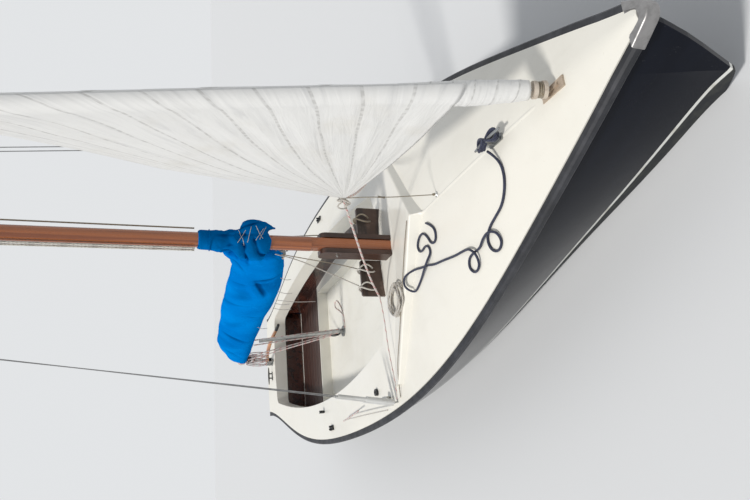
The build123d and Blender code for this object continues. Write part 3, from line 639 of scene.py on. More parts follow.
def nurbs_line(name: str, points: list[Point]) -> Array:
    """Centreline of a cord: the NURBS spline whose control points are the route's points, eight steps to each."""
    curve = bpy.data.curves.new(name + "_route", "CURVE")
    curve.dimensions = "3D"
    spline = curve.splines.new("NURBS")
    spline.points.add(len(points) - 1)
    spline.points.foreach_set("co", np.hstack([np.array(points, float), np.ones((len(points), 1))]).ravel())
    spline.order_u = 3
    spline.use_endpoint_u = True
    spline.resolution_u = 8
    holder = bpy.data.objects.new(name + "_route", curve)
    bpy.context.scene.collection.objects.link(holder)
    bpy.context.view_layer.update()
    mesh = bpy.data.meshes.new_from_object(holder)
    line = np.zeros(len(mesh.vertices) * 3)
    mesh.vertices.foreach_get("co", line)
    bpy.data.meshes.remove(mesh)
    bpy.data.objects.remove(holder)
    bpy.data.curves.remove(curve)
    return line.reshape(-1, 3)


class Ground:
    """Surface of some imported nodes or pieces, for what lies on it or against it."""

    far = 3.0
    deck_edge_z = 0.7
    hood_front_x = 0.93

    def __init__(self, *names: str) -> None:
        """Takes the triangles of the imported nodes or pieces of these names."""
        points, faces, start = [], [], 0
        for name in names:
            mesh = (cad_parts.get(name) or bpy.data.objects[name]).data
            mesh.calc_loop_triangles()
            co = np.zeros(len(mesh.vertices) * 3)
            mesh.vertices.foreach_get("co", co)
            corners = np.zeros(len(mesh.loop_triangles) * 3, np.int32)
            mesh.loop_triangles.foreach_get("vertices", corners)
            points.append(co.reshape(-1, 3))
            faces.append(corners.reshape(-1, 3) + start)
            start += len(points[-1])
        self.tree = BVHTree.FromPolygons(np.vstack(points).tolist(), np.vstack(faces).tolist())

    def height(self, x: float, y: float) -> float:
        """Height of the surface at a place, or of the deck's edge where nothing lies under it."""
        hit = self.tree.ray_cast((x, y, self.far), (0, 0, -1))[0]
        return self.deck_edge_z if hit is None else hit.z

    def front(self, y: float, z: float, lift: float) -> Point:
        """Place on the surface as seen from ahead, lifted a little towards the bow."""
        hit = self.tree.ray_cast((self.far, y, z), (-1, 0, 0))[0]
        return (self.hood_front_x if hit is None else hit.x + lift, y, z)

    def laid(self, rows: list[tuple[float, ...]], lift: float) -> list[Point]:
        """Points over the surface: each row is x, y and an optional extra height."""
        return [(r[0], r[1], self.height(r[0], r[1]) + lift + (r[2] if len(r) > 2 else 0.0)) for r in rows]


@dataclass(frozen=True)
class Studio:
    """Camera at the place from which the boat was seen, soft light and a pale floor at the waterline."""

    eye: Point = (4.840, -1.4956, 2.3872)
    ahead: Point = (-0.88327, 0.32551, -0.33746)
    roll_deg: float = -2.017
    yaw_deg: float = 159.769
    lens: float = 33.83
    floor_half: float = 14.0
    sun_towards: Point = (0.12, -0.58, 0.81)
    sun_power: float = 2.25
    sun_width_deg: float = 7.0
    sun_colour: Colour = (1.0, 0.975, 0.94)
    sky_power: float = 0.50
    sky_colour: Colour = (0.93, 0.96, 1.0)
    backdrop: Colour = (0.765, 0.780, 0.795)
    paper: Colour = (0.70, 0.71, 0.72)

    def camera(self) -> None:
        """Sets the camera, which was held upright: its X axis points down the view and its Y axis to the right."""
        ahead = np.array(self.ahead)
        yaw, roll = np.radians(self.yaw_deg), np.radians(self.roll_deg)
        right = np.array([np.sin(yaw), -np.cos(yaw), 0.0])
        down = np.cross(ahead, right)
        across = np.cos(roll) * right + np.sin(roll) * down
        below = -np.sin(roll) * right + np.cos(roll) * down
        data = bpy.data.cameras.new("camera")
        data.sensor_width = 36.0
        data.lens = self.lens
        made = bpy.data.objects.new("camera", data)
        place = np.eye(4)
        place[:3, 0], place[:3, 1], place[:3, 2], place[:3, 3] = below, across, -ahead, self.eye
        made.matrix_world = Matrix(place.tolist())
        bpy.context.scene.collection.objects.link(made)
        bpy.context.scene.camera = made

    def floor(self) -> None:
        """Lays the floor at the waterline."""
        half = self.floor_half
        corners = np.array([(-half, -half, 0), (half, -half, 0), (half, half, 0), (-half, half, 0)], float)
        made = make_piece("floor", corners, [[0, 1, 2, 3]], smooth=False)
        g = Graph("floor_paper")
        g.surface(Base_Color=self.paper, Roughness=0.8)
        dress(made, g.material)

    def lamp(self) -> None:
        """Sets one large soft lamp high to starboard."""
        sun = bpy.data.lights.new("key", "SUN")
        sun.energy = self.sun_power
        sun.angle = np.radians(self.sun_width_deg)
        sun.color = self.sun_colour
        holder = bpy.data.objects.new("key", sun)
        way = unit(np.array(self.sun_towards))
        side = unit(np.cross((0, 0, 1.0), way))
        place = np.eye(4)
        place[:3, 0], place[:3, 1], place[:3, 2] = side, np.cross(way, side), way
        holder.matrix_world = Matrix(place.tolist())
        bpy.context.scene.collection.objects.link(holder)

    def surround(self) -> None:
        """Lights the boat evenly from a pale sky, and shows rays from the camera, glossy ones too, a pale backdrop."""
        world = bpy.data.worlds.new("surround")
        world.use_nodes = True
        tree = world.node_tree
        tree.nodes.clear()
        path = tree.nodes.new("ShaderNodeLightPath")
        sky, seen = (tree.nodes.new("ShaderNodeBackground") for _ in range(2))
        sky.inputs[0].default_value = (*self.sky_colour, 1.0)
        sky.inputs[1].default_value = self.sky_power
        seen.inputs[0].default_value = (*self.backdrop, 1.0)
        blend = tree.nodes.new("ShaderNodeMixShader")
        end = tree.nodes.new("ShaderNodeOutputWorld")
        share: Socket = path.outputs["Is Camera Ray"]
        for ray in ("Is Glossy Ray", "Is Transmission Ray"):
            either = tree.nodes.new("ShaderNodeMath")
            either.operation = "MAXIMUM"
            tree.links.new(share, either.inputs[0])
            tree.links.new(path.outputs[ray], either.inputs[1])
            share = either.outputs[0]
        for source, target in ((share, blend.inputs[0]), (sky.outputs[0], blend.inputs[1]),
                               (seen.outputs[0], blend.inputs[2]), (blend.outputs[0], end.inputs[0])):
            tree.links.new(source, target)
        bpy.context.scene.world = world
        bpy.context.scene.view_settings.view_transform = "Standard"

    def build(self) -> None:
        """Camera, floor, lamp and surround."""
        self.camera()
        self.floor()
        self.lamp()
        self.surround()


def made(finish: Finish) -> bpy.types.Material:
    """The finish's material, made once."""
    kept = bpy.data.materials.get(finish.name + "_finish")
    return kept if kept else finish.material()


def wound(name: str, line: Array, radius: float, finish: Finish, body: str = "root", sides: int = 8,
          up: Point = (0.21, 0.13, 0.97)) -> Piece:
    """Rope that follows a line of many points.

    Args:
        name: piece name.
        line: points along its middle.
        radius: its radius.
        finish: its finish.
        body: body that it moves with, or an empty word where the caller says so itself.
        sides: points in a ring.
        up: a direction that no part of it runs along.

    Returns:
        The new piece.
    """
    piece = dress(tube_piece(name, line, radius, sides, up), made(finish))
    if body:
        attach(piece, body)
    return piece


def rope(name: str, points: list[Point] | Array, radius: float, finish: Finish, body: str = "root", count: int = 0,
         sides: int = 8, up: Point = (0.21, 0.13, 0.97)) -> Piece:
    """Rope that is made fast at both ends, on a smooth line through a few points.

    Args:
        name: piece name.
        points: places on its line.
        radius: its radius.
        finish: its finish.
        body: body that it moves with, or an empty word where the caller says so itself.
        count: rings along it, from its length where it is 0.
        sides: points in a ring.
        up: a direction that no part of it runs along.

    Returns:
        The new piece.
    """
    given = np.array(points, float)
    rings = count or int(np.clip(runs(given)[-1] / 0.012, 12, 220))
    return wound(name, smooth_line(given.tolist(), rings), radius, finish, body, sides, up)


def hitch(name: str, middle: Point, size: float, radius: float, finish: Finish, turn: float = 0.0) -> None:
    """Knot: a closed trefoil, (sin t + 2 sin 2t, cos t - 2 cos 2t, -1.1 sin 3t), leant over and turned about Z."""
    t = np.linspace(0, 2 * np.pi, 72)
    flat = np.stack([np.sin(t) + 2 * np.sin(2 * t), np.cos(t) - 2 * np.cos(2 * t), -1.1 * np.sin(3 * t)], -1) * size / 3
    spin = np.array([[np.cos(turn), np.sin(turn), 0], [-np.sin(turn), np.cos(turn), 0], [0, 0, 1]])
    lean = np.array([[1, 0, 0], [0, 0.3, 0.95], [0, -0.95, 0.3]])
    wound(name, np.array(middle) + flat @ lean @ spin, radius, finish, up=(0.31, 0.93, 0.2))


# Finishes of the boat

HULL = HullPaint()
DECK = Gelcoat()
LINER = Gelcoat("liner_gelcoat", (0.84, 0.82, 0.745), (0.58, 0.54, 0.44), 0.30, 0.42)
MAST_WOOD = Timber("mast_varnish", (0.370, 0.118, 0.040), (0.190, 0.052, 0.018), (16, 16, 0.55), 0.22, 0.35, 0.06)
DARK_WOOD = Timber("dark_varnish", (0.070, 0.028, 0.016), (0.024, 0.010, 0.006), (12, 12, 0.9), 0.34, 0.15, 0.10)
COAMING_WOOD = Timber("coaming_varnish", (0.060, 0.016, 0.009), (0.014, 0.005, 0.004), (0.7, 12, 12), 0.20, 0.45)
TILLER_WOOD = Timber("tiller_varnish", (0.60, 0.24, 0.075), (0.36, 0.12, 0.030), (0.8, 15, 15), 0.2, 0.55, 0.2)
BOOM_WOOD = Timber("boom_varnish", (0.62, 0.27, 0.075), (0.40, 0.14, 0.035), (0.7, 14, 14), 0.18, 0.6, 0.05)
PIN_WOOD = Timber("pin_rail_wood", (0.075, 0.042, 0.028), (0.026, 0.015, 0.011), (12, 0.9, 12), 0.45, 0.1, 0.5)
IRON = Metal("keel_iron", (0.10, 0.10, 0.10), 0.55, 0.7, 0.2)
STEEL = Metal("polished_steel", (0.62, 0.62, 0.60), 0.22)
DULL_STEEL = Metal("galvanised_steel", (0.36, 0.37, 0.37), 0.42, 0.25)
ALLOY = Metal("anodised_alloy", (0.52, 0.53, 0.54), 0.34)
WIRE = Metal("rigging_wire", (0.30, 0.30, 0.30), 0.38)
RAIL = Moulded("rail_rubber", (0.013, 0.014, 0.018), (0.050, 0.052, 0.062), 0.50, 0.6)
CAP_METAL = Metal("bow_cap_metal", (0.37, 0.36, 0.355), 0.36)
DRUM_METAL = Metal("weathered_drum", (0.66, 0.58, 0.49), 0.56, 0.40, 0.25)
PLATE_METAL = Metal("weathered_plate", (0.55, 0.45, 0.35), 0.54, 0.45, 0.4)
PLASTIC = Moulded("black_plastic", (0.012, 0.012, 0.013), (0.05, 0.05, 0.052), 0.34, 0.35, 300.0)
WHITE_TUBE = Moulded("white_tube", (0.66, 0.66, 0.64), (0.42, 0.41, 0.38), 0.40, 0.6)
RUDDER_PAINT = Moulded("rudder_paint", (0.036, 0.038, 0.042), (0.065, 0.067, 0.064), 0.62, 0.6)
BENCH_WOOD = Timber("bench_varnish", (0.062, 0.024, 0.016), (0.024, 0.010, 0.008), (9, 0.8, 9), 0.30, 0.25, 0.15)
COVER_CLOTH = Canvas()
SAIL_CLOTH = Sailcloth()
NAVY_ROPE = Braid("navy_rope", (0.030, 0.036, 0.075), (0.008, 0.010, 0.026), (0.05, 0.06, 0.11), 0.4, 0.022)
PINK_ROPE = Braid("flecked_sheet", (0.78, 0.72, 0.68), (0.50, 0.43, 0.40), (0.62, 0.16, 0.15), 0.70, 0.016)
PALE_ROPE = Braid("pale_line", (0.68, 0.65, 0.59), (0.40, 0.37, 0.33), (0.46, 0.38, 0.32), 0.45, 0.012)
WHITE_ROPE = Braid("white_line", (0.78, 0.75, 0.68), (0.48, 0.45, 0.40), (0.60, 0.56, 0.50), 0.3, 0.012)
MAST_ROPE = Braid("flecked_halyard", (0.72, 0.69, 0.62), (0.42, 0.39, 0.33), (0.20, 0.19, 0.17), 0.45, 0.040)
OLD_ROPE = Braid("weathered_line", (0.42, 0.36, 0.27), (0.18, 0.15, 0.11), (0.30, 0.22, 0.13), 0.6, 0.007)

NODE_FINISHES: tuple[tuple[Finish, tuple[str, ...]], ...] = (
    (HULL, ("hull_shell",)),
    (IRON, ("keel_fin",)),
    (DECK, ("deck_moulding",)),
    (LINER, ("cockpit_liner",)),
    (COAMING_WOOD, ("aft_bulkhead", "fore_bulkhead", "backrest_boards")),
    (RAIL, ("rub_rail",)),
    (STEEL, ("cheek_bolt", "jib_blocks")),
    (CAP_METAL, ("bow_cap",)),
    (DRUM_METAL, ("furling_drum",)),
    (PLATE_METAL, ("stem_plate",)),
    (DULL_STEEL, ("mooring_cleat", "chainplates", "gooseneck_bracket", "gooseneck_fork", "rudder_stock",
                  "rudder_trunk", "rudder_head", "mainsheet_base", "masthead")),
    (MAST_WOOD, ("mast",)),
    (DARK_WOOD, ("mast_cheeks",)),
    (PIN_WOOD, ("pin_rails",)),
    (ALLOY, ("rail_cleats", "boom_prop", "mast_track")),
    (WIRE, ("forestay", "shrouds")),
    (WHITE_TUBE, ("shroud_tubes",)),
    (PLASTIC, ("stern_cleat", "cam_cleats", "lead_blocks", "swivel_block", "boom_end_block", "tiller_grip",
               "bullseyes")),
    (RUDDER_PAINT, ("rudder_blade",)),
    (TILLER_WOOD, ("tiller",)),
    (BOOM_WOOD, ("boom",)),
)


def dress_nodes() -> None:
    """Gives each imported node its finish."""
    for finish, names in NODE_FINISHES:
        material = made(finish)
        for name in names:
            dress(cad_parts[name], material)
        log.info("finish %s on %s", finish.name, ", ".join(names))


@dataclass(frozen=True)
class LooseCord:
    """A free cord: its route, thickness and finish."""

    name: str
    route: tuple[Point, ...]
    radius: float
    finish: Braid
    node: str
    far_end: str = "bare"
    lay: str = "loose"
    stiffness: str = "limp"

    def build(self) -> None:
        """Tube along the NURBS line of the route, in place of the imported node, which is hidden."""
        line = nurbs_line(self.name, list(self.route))
        piece = dress(tube_piece(self.name, line, self.radius, 10), made(self.finish))
        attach(piece, "root")
        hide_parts(self.node)


MOORING_ROUTE: tuple[Point, ...] = (
    (2.262, -0.036, 0.8002), (2.300, -0.088, 0.7738), (2.306, -0.158, 0.7571), (2.272, -0.228, 0.7444),
    (2.212, -0.286, 0.7355), (2.138, -0.312, 0.7337), (2.062, -0.340, 0.7314), (2.016, -0.384, 0.7248),
    (2.026, -0.440, 0.7134), (2.078, -0.464, 0.7063), (2.128, -0.434, 0.7098), (2.120, -0.382, 0.7256),
    (2.068, -0.358, 0.7426), (2.006, -0.374, 0.7421), (1.940, -0.398, 0.7251), (1.876, -0.398, 0.7273),
    (1.816, -0.410, 0.7270), (1.794, -0.458, 0.7190), (1.838, -0.496, 0.7105), (1.898, -0.472, 0.7147),
    (1.912, -0.418, 0.7373), (1.868, -0.376, 0.7467), (1.796, -0.360, 0.7368), (1.690, -0.354, 0.7403),
    (1.560, -0.334, 0.7459), (1.450, -0.322, 0.7490), (1.370, -0.298, 0.7532), (1.290, -0.288, 0.7548),
    (1.212, -0.272, 0.7610), (1.152, -0.288, 0.7971), (1.120, -0.314, 0.8031), (1.096, -0.354, 0.7845),
    (1.126, -0.388, 0.7405), (1.180, -0.378, 0.7410), (1.262, -0.342, 0.7465), (1.345, -0.318, 0.7651),
    (1.414, -0.284, 0.7703), (1.452, -0.250, 0.7607), (1.444, -0.208, 0.7666), (1.400, -0.194, 0.7681),
    (1.352, -0.208, 0.7662), (1.314, -0.198, 0.7671), (1.302, -0.164, 0.7704), (1.326, -0.136, 0.7730),
    (1.364, -0.116, 0.7749), (1.410, -0.118, 0.7752), (1.456, -0.158, 0.7722), (1.484, -0.212, 0.7661),
    (1.542, -0.216, 0.7655), (1.566, -0.160, 0.7725), (1.520, -0.110, 0.7767), (1.468, -0.080, 0.7781),
)
TAIL_ROUTE: tuple[Point, ...] = (
    (-1.592, 0.058, 0.3153), (-1.598, 0.150, 0.3153), (-1.650, 0.260, 0.3153), (-1.740, 0.350, 0.3153),
    (-1.818, 0.396, 0.3153), (-1.872, 0.388, 0.3153), (-1.880, 0.344, 0.3153), (-1.836, 0.310, 0.3153),
    (-1.740, 0.268, 0.3153), (-1.660, 0.216, 0.3153),
)


@dataclass(frozen=True)
class Cordage:
    """The loose cords: the mooring rope's tail, the coil of sheet on deck and the end of the mainsheet."""

    rope_radius: float = 0.0065
    sheet_radius: float = 0.0045
    coil_middle: tuple[float, float] = (0.890, -0.372)
    coil_half: tuple[float, float] = (0.138, 0.092)
    coil_turns: int = 6
    turn_points: int = 12

    def coil_route(self, ground: Ground) -> list[Point]:
        """Turns of the coil: ellipses that drift and swell a little from turn to turn, stacked as they cross."""
        count = self.coil_turns * self.turn_points
        step = np.arange(count)
        angle = 2 * np.pi * step / self.turn_points + 2.4
        turn = step / self.turn_points
        swell = 1.03 + 0.085 * np.sin(turn * 2.9 + 0.6) - 0.010 * turn
        x = self.coil_middle[0] + self.coil_half[0] * swell * np.cos(angle) + 0.016 * np.cos(turn * 2.3)
        y = self.coil_middle[1] + self.coil_half[1] * swell * np.sin(angle) + 0.014 * np.sin(turn * 3.1)
        rise = 1.29 * self.sheet_radius * turn
        return ground.laid([(float(a), float(b), float(c)) for a, b, c in zip(x, y, rise)], self.sheet_radius + 0.001)

    def build(self) -> None:
        """Makes the three cords."""
        ground = Ground("deck_moulding")
        LooseCord("mooring_rope_tail", MOORING_ROUTE, self.rope_radius, NAVY_ROPE, "mooring_rope").build()
        LooseCord("mainsheet_end", TAIL_ROUTE, self.sheet_radius, PINK_ROPE, "mainsheet_tail").build()
        LooseCord("sheet_coil_turns", tuple(self.coil_route(ground)), self.sheet_radius, PALE_ROPE, "sheet_coil",
                  lay="coiled").build()


MAST_X = 0.85
STAY_X, STAY_Z, STAY_LEAN = 2.736, 0.817, -0.254
STAY_WAY = unit(np.array([STAY_LEAN, 0.0, 1.0]))
TO_PORT = np.array([0.0, 1.0, 0.0])
STAY_AHEAD = np.cross(TO_PORT, STAY_WAY)
GOOSENECK = np.array([0.762, 0.0, 1.45])
BOOM_AXES = np.array([[-0.99625, -0.04001, -0.07672], [-0.04013, 0.99919, 0.0], [-0.07666, -0.00308, 0.99705]])


def along_boom(reach: Array | float, side: Array | float, rise: Array | float) -> Array:
    """Place in the boat's frame from distance along the boom at rest, distance to port and height over its axis."""
    reach, side, rise = np.broadcast_arrays(reach, side, rise)
    return GOOSENECK + np.stack([reach, side, rise], -1) @ BOOM_AXES


def from_boom(points: Array) -> tuple[Array, Array, Array]:
    """Distance along the boom at rest, distance to port and height over its axis, from places in the boat's frame."""
    reach, side, rise = ((points - GOOSENECK) @ BOOM_AXES.T).T
    return reach, side, rise


class Side(Enum):
    """Side of the cover that a crease lies on."""

    STARBOARD = -1.0
    PORT = 1.0
    FRONT = 0.0


@dataclass(frozen=True)
class Crease:
    """A fold in cloth: a sharp valley along a straight line, with a rounded lip on its upper side.

    Its ends are distance along the boom and height over its axis; on the front, distance to port and that height.
    """

    start: tuple[float, float]
    end: tuple[float, float]
    depth: float = 0.010
    width: float = 0.020
    side: Side = Side.STARBOARD

    def press(self, reach: Array, side: Array, rise: Array) -> Array:
        """Height of the fold at each point.

        With s the distance from the line over the width, counted positive on the lip's side, the height is depth times
        half a tent round s = 1.5 less a tent round the line, twice as steep above it as below, faded at both ends.

        Args:
            reach: distance of each point along the boom.
            side: its distance to port.
            rise: its height over the boom's axis.

        Returns:
            Height for each point.
        """
        front = self.side is Side.FRONT
        place = np.stack([side if front else reach, rise], -1)
        first, way = np.array(self.start), np.array(self.end) - np.array(self.start)
        share = np.clip(((place - first) @ way) / (way @ way), 0.0, 1.0)
        gap = place - first - share[:, None] * way
        across = np.array([-way[1], way[0]]) / np.linalg.norm(way)
        if across[1] < 0:
            across = -across
        s = np.linalg.norm(gap, axis=1) / self.width * np.where(gap @ across > 0, 1.0, -1.0)
        fade = np.sin(np.pi * np.clip(share * 0.90 + 0.05, 0, 1)) ** 0.6
        kept = np.clip((-reach - 0.11) / 0.02, 0, 1) if front else np.clip(side * self.side.value / 0.02, 0, 1)
        valley = np.clip(1 - np.abs(s) * np.where(s > 0, 1.8, 0.8), 0, 1)
        lip = np.clip(1 - np.abs(s - 1.5) / np.where(s > 1.5, 1.6, 0.95), 0, 1)
        return self.depth * fade * kept * (0.5 * lip - valley)


@dataclass(frozen=True)
class SailCover:
    """Blue cover over boom and furled sail, laced round the mast, filled out by the sail inside it.

    Its stations are distance from the gooseneck, half width, lowest and highest place about the boom; its hood's rings
    are height, middle X, half length and reach to starboard and to port; its flap's are place and radius.
    """

    stations: tuple[tuple[float, float, float, float], ...] = (
        (3.00, 0.038, -0.046, 0.030), (2.93, 0.050, -0.047, 0.078), (2.80, 0.061, -0.048, 0.146),
        (2.47, 0.074, -0.050, 0.238), (2.20, 0.083, -0.050, 0.288), (1.90, 0.087, -0.050, 0.297),
        (1.60, 0.091, -0.052, 0.296), (1.30, 0.095, -0.060, 0.300), (1.00, 0.098, -0.080, 0.306),
        (0.75, 0.099, -0.088, 0.303), (0.50, 0.097, -0.078, 0.293), (0.28, 0.092, -0.058, 0.288),
        (0.13, 0.086, -0.036, 0.316), (0.03, 0.078, -0.008, 0.366),
    )
    hood: tuple[tuple[float, float, float, float, float], ...] = (
        (1.540, 0.826, 0.070, 0.046, 0.044), (1.566, 0.822, 0.096, 0.080, 0.072), (1.610, 0.818, 0.108, 0.102, 0.090),
        (1.665, 0.818, 0.106, 0.104, 0.092), (1.705, 0.826, 0.092, 0.090, 0.082), (1.745, 0.838, 0.074, 0.070, 0.068),
        (1.800, 0.849, 0.063, 0.061, 0.061), (1.900, 0.850, 0.059, 0.058, 0.058), (1.975, 0.850, 0.057, 0.056, 0.056),
    )
    flap: tuple[tuple[float, float, float, float], ...] = (
        (0.896, 0.034, 1.742, 0.016), (0.905, 0.066, 1.694, 0.032), (0.905, 0.088, 1.640, 0.037),
        (0.900, 0.088, 1.585, 0.031), (0.898, 0.082, 1.540, 0.020), (0.900, 0.080, 1.508, 0.008),
    )
    creases: tuple[Crease, ...] = (
        Crease((0.040, 0.232), (-0.120, 0.372), 0.034, 0.024),
        Crease((0.250, 0.215), (0.020, 0.318), 0.010, 0.030),
        Crease((0.060, 0.205), (-0.160, 0.250), 0.022, 0.018),
        Crease((0.020, 0.050), (-0.160, 0.190), 0.017, 0.020),
        Crease((0.376, 0.145), (0.312, -0.038), 0.010, 0.028),
        Crease((0.703, 0.030), (0.376, 0.135), 0.012, 0.030),
        Crease((0.520, 0.280), (0.430, 0.060), 0.006, 0.050),
        Crease((0.960, 0.290), (0.880, -0.040), 0.006, 0.052),
        Crease((1.153, 0.170), (1.230, -0.030), 0.007, 0.036),
        Crease((1.721, 0.290), (2.031, 0.020), 0.008, 0.050),
        Crease((2.243, 0.266), (2.603, 0.020), 0.009, 0.036),
        Crease((0.040, 0.230), (-0.120, 0.370), 0.028, 0.024, Side.PORT),
        Crease((0.100, 0.080), (-0.120, 0.190), 0.014, 0.020, Side.PORT),
        Crease((0.600, 0.040), (0.330, 0.150), 0.011, 0.030, Side.PORT),
        Crease((1.020, 0.280), (1.140, -0.030), 0.007, 0.046, Side.PORT),
        Crease((1.800, 0.270), (2.080, 0.010), 0.008, 0.048, Side.PORT),
        Crease((2.300, 0.250), (2.620, 0.010), 0.009, 0.036, Side.PORT),
        Crease((0.012, 0.430), (0.016, 0.100), 0.007, 0.012, Side.FRONT),
        Crease((-0.070, 0.230), (0.000, 0.300), 0.008, 0.014, Side.FRONT),
        Crease((-0.080, 0.160), (0.000, 0.200), 0.010, 0.014, Side.FRONT),
        Crease((0.050, 0.300), (0.100, 0.130), 0.012, 0.014, Side.FRONT),
    )
    sides: int = 44
    body_rings: int = 110
    hood_rings: int = 50
    flap_rings: int = 30
    voxel: float = 0.0120
    pressure: float = 4.0
    tension: float = 12.0
    bending: float = 0.6
    frames: int = 20
    swell: float = 0.006
    plump: float = 0.0035
    mast_clear: float = 0.0560
    mast_clear_between: tuple[float, float] = (1.60, 1.965)
    mast_clear_from: float = 0.80
    hood_aft: float = 0.735
    tie_z: float = 1.785

    def body(self) -> Piece:
        """Long part: rings of half width sin(t)^0.8 times 1.06 at the bottom, falling to 0.70 at the top."""
        rows = np.array(self.stations)
        where = np.linspace(rows[0, 0], rows[-1, 0], self.body_rings)
        order = np.argsort(rows[:, 0])
        wide, low, high = (np.interp(where, rows[order, 0], rows[order, k]) for k in (1, 2, 3))
        turn = np.linspace(0, 2 * np.pi, self.sides, endpoint=False)
        share = (1 - np.cos(turn)) / 2
        across = np.sign(np.sin(turn)) * np.abs(np.sin(turn)) ** 0.8 * (1.06 - 0.36 * share ** 1.4)
        rise = low[:, None] + (high - low)[:, None] * share
        return grid_piece("cover_body", along_boom(where[:, None], wide[:, None] * across, rise), closed=True,
                          capped=True)

    def collar(self) -> Piece:
        """Hood: upright rings round the mast, half ellipses of the table's reach to each side."""
        rows = np.array(self.hood)
        z = np.linspace(rows[0, 0], rows[-1, 0], self.hood_rings)
        middle, long_, star, port = (np.interp(z, rows[:, 0], rows[:, k])[:, None] for k in (1, 2, 3, 4))
        turn = np.linspace(0, 2 * np.pi, self.sides, endpoint=False)
        x = middle + long_ * np.cos(turn)
        y = np.where(np.sin(turn) > 0, port, star) * np.sin(turn)
        return grid_piece("cover_hood", np.stack([x, y, np.broadcast_to(z[:, None], x.shape)], -1), closed=True,
                          capped=True)

    def bunch(self) -> Piece:
        """Flap: the free edge's cloth, hanging in a bunch to port of the lacing."""
        rows = np.array(self.flap)
        line = smooth_line(rows[:, :3].tolist(), self.flap_rings)
        radius = np.interp(np.linspace(0, 1, self.flap_rings), np.linspace(0, 1, len(rows)), rows[:, 3])
        return tube_piece("cover_flap", line, radius, 20, (1, 0, 0))

    def inflate(self, piece: Piece) -> None:
        """Fills the cloth out with pressure for some frames, and keeps each point within swell of where it was."""
        scene = bpy.context.scene
        before = vertices(piece)
        cloth = piece.modifiers.new("fill", "CLOTH")
        cloth.settings.use_pressure = True
        cloth.settings.uniform_pressure_force = self.pressure
        cloth.settings.tension_stiffness = self.tension
        cloth.settings.bending_stiffness = self.bending
        cloth.settings.effector_weights.gravity = 0.0
        for step in range(1, self.frames + 1):
            scene.frame_set(step)
        ready = piece.evaluated_get(bpy.context.evaluated_depsgraph_get())
        after = np.zeros(len(ready.data.vertices) * 3)
        ready.data.vertices.foreach_get("co", after)
        piece.modifiers.remove(cloth)
        scene.frame_set(1)
        move = after.reshape(-1, 3) - before
        far = np.linalg.norm(move, axis=1, keepdims=True)
        place_vertices(piece, before + move * np.minimum(1.0, self.swell / np.maximum(far, 1e-9)))

    def ripple(self, points: Array) -> Array:
        """Height of the uneven cloth at each point.

        Forward of hood_aft the cloth stands in flat facets, arcsin(sin a), whose waves a run round the mast and wander
        with height: two sets gather under the tie and one lies lower, at the lacing. Aft of it soft waves cross, with
        fine ones in some stretches.

        Args:
            points: places on the cover.

        Returns:
            Height for each point.
        """
        x, y, z = points.T
        turn = np.arctan2(y, x - MAST_X)
        front = 1 / (1 + np.exp(-(x - self.hood_aft) / 0.012))
        first = 2.6 * turn + 2.2 * np.sin(19 * z + 2.3 * turn) + 0.9 * np.sin(41 * z)
        second = 3.4 * turn - 34 * z + 2.6 * np.sin(13 * z + 1.3 * turn)
        gather = 0.0052 * np.arcsin(np.sin(first)) + 0.0040 * np.arcsin(np.sin(second))
        gather = gather * front * np.exp(-(((z - self.tie_z) / 0.082) ** 4))
        laced = 3.3 * turn + 27 * z + 2.4 * np.sin(15 * z + turn)
        low = 0.0028 * np.arcsin(np.sin(laced)) * front * (z < 1.71) * (z > 1.50)
        along = 5.3 * x + 8 * z + 1.4 * np.sin(2.7 * x + 5 * z)
        slack = np.sin(along) * np.sin(7 * z - 2.2 * x + 1.5 * np.sin(3.1 * x))
        fine = np.sin(19 * x - 13 * z + 2.6 * np.sin(3.7 * x + 6 * z)) * np.clip(np.sin(3.3 * x + 0.7), 0, 1)
        return gather + low + (1 - front) * (0.0060 * slack + 0.0018 * fine)

    def clear_mast(self, piece: Piece) -> None:
        """Keeps the hood's cloth off the mast: points nearer its middle than mast_clear are moved out to that."""
        points = vertices(piece)
        middle = np.array((MAST_X, 0.0))
        away = points[:, :2] - middle
        far = np.linalg.norm(away, axis=1)
        low, high = self.mast_clear_between
        near = (points[:, 2] > low) & (points[:, 2] < high) & (far < self.mast_clear)
        near &= points[:, 0] > self.mast_clear_from
        points[near, :2] = middle + away[near] * (self.mast_clear / far[near])[:, None]
        place_vertices(piece, points)

    def build(self) -> None:
        """Joins body, hood and flap in one skin, fills it, presses the folds in and keeps the hood off the mast."""
        piece = joined("sail_cover_cloth", [self.body(), self.collar(), self.bunch()])
        remesh(piece, self.voxel)
        relax(piece, 2)
        self.inflate(piece)
        subdivide(piece, 1)
        points, normals = vertices(piece), vertex_normals(piece)
        reach, side, rise = from_boom(points)
        height = self.ripple(points) + sum(c.press(reach, side, rise) for c in self.creases)
        place_vertices(piece, points + normals * (height + self.plump)[:, None])
        # The fold height is stored so that the cloth's material paints shade into the valleys of the folds.
        fold = piece.data.attributes.new("fold", "FLOAT", "POINT")
        fold.data.foreach_set("value", height.astype(np.float32))
        relax(piece, 1)
        self.clear_mast(piece)
        shade_smooth(piece)
        dress(piece, made(COVER_CLOTH))
        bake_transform(piece)
        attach(piece, "root")
        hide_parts("sail_cover", "mast_collar")
        log.info("sail cover: %d points", len(piece.data.vertices))


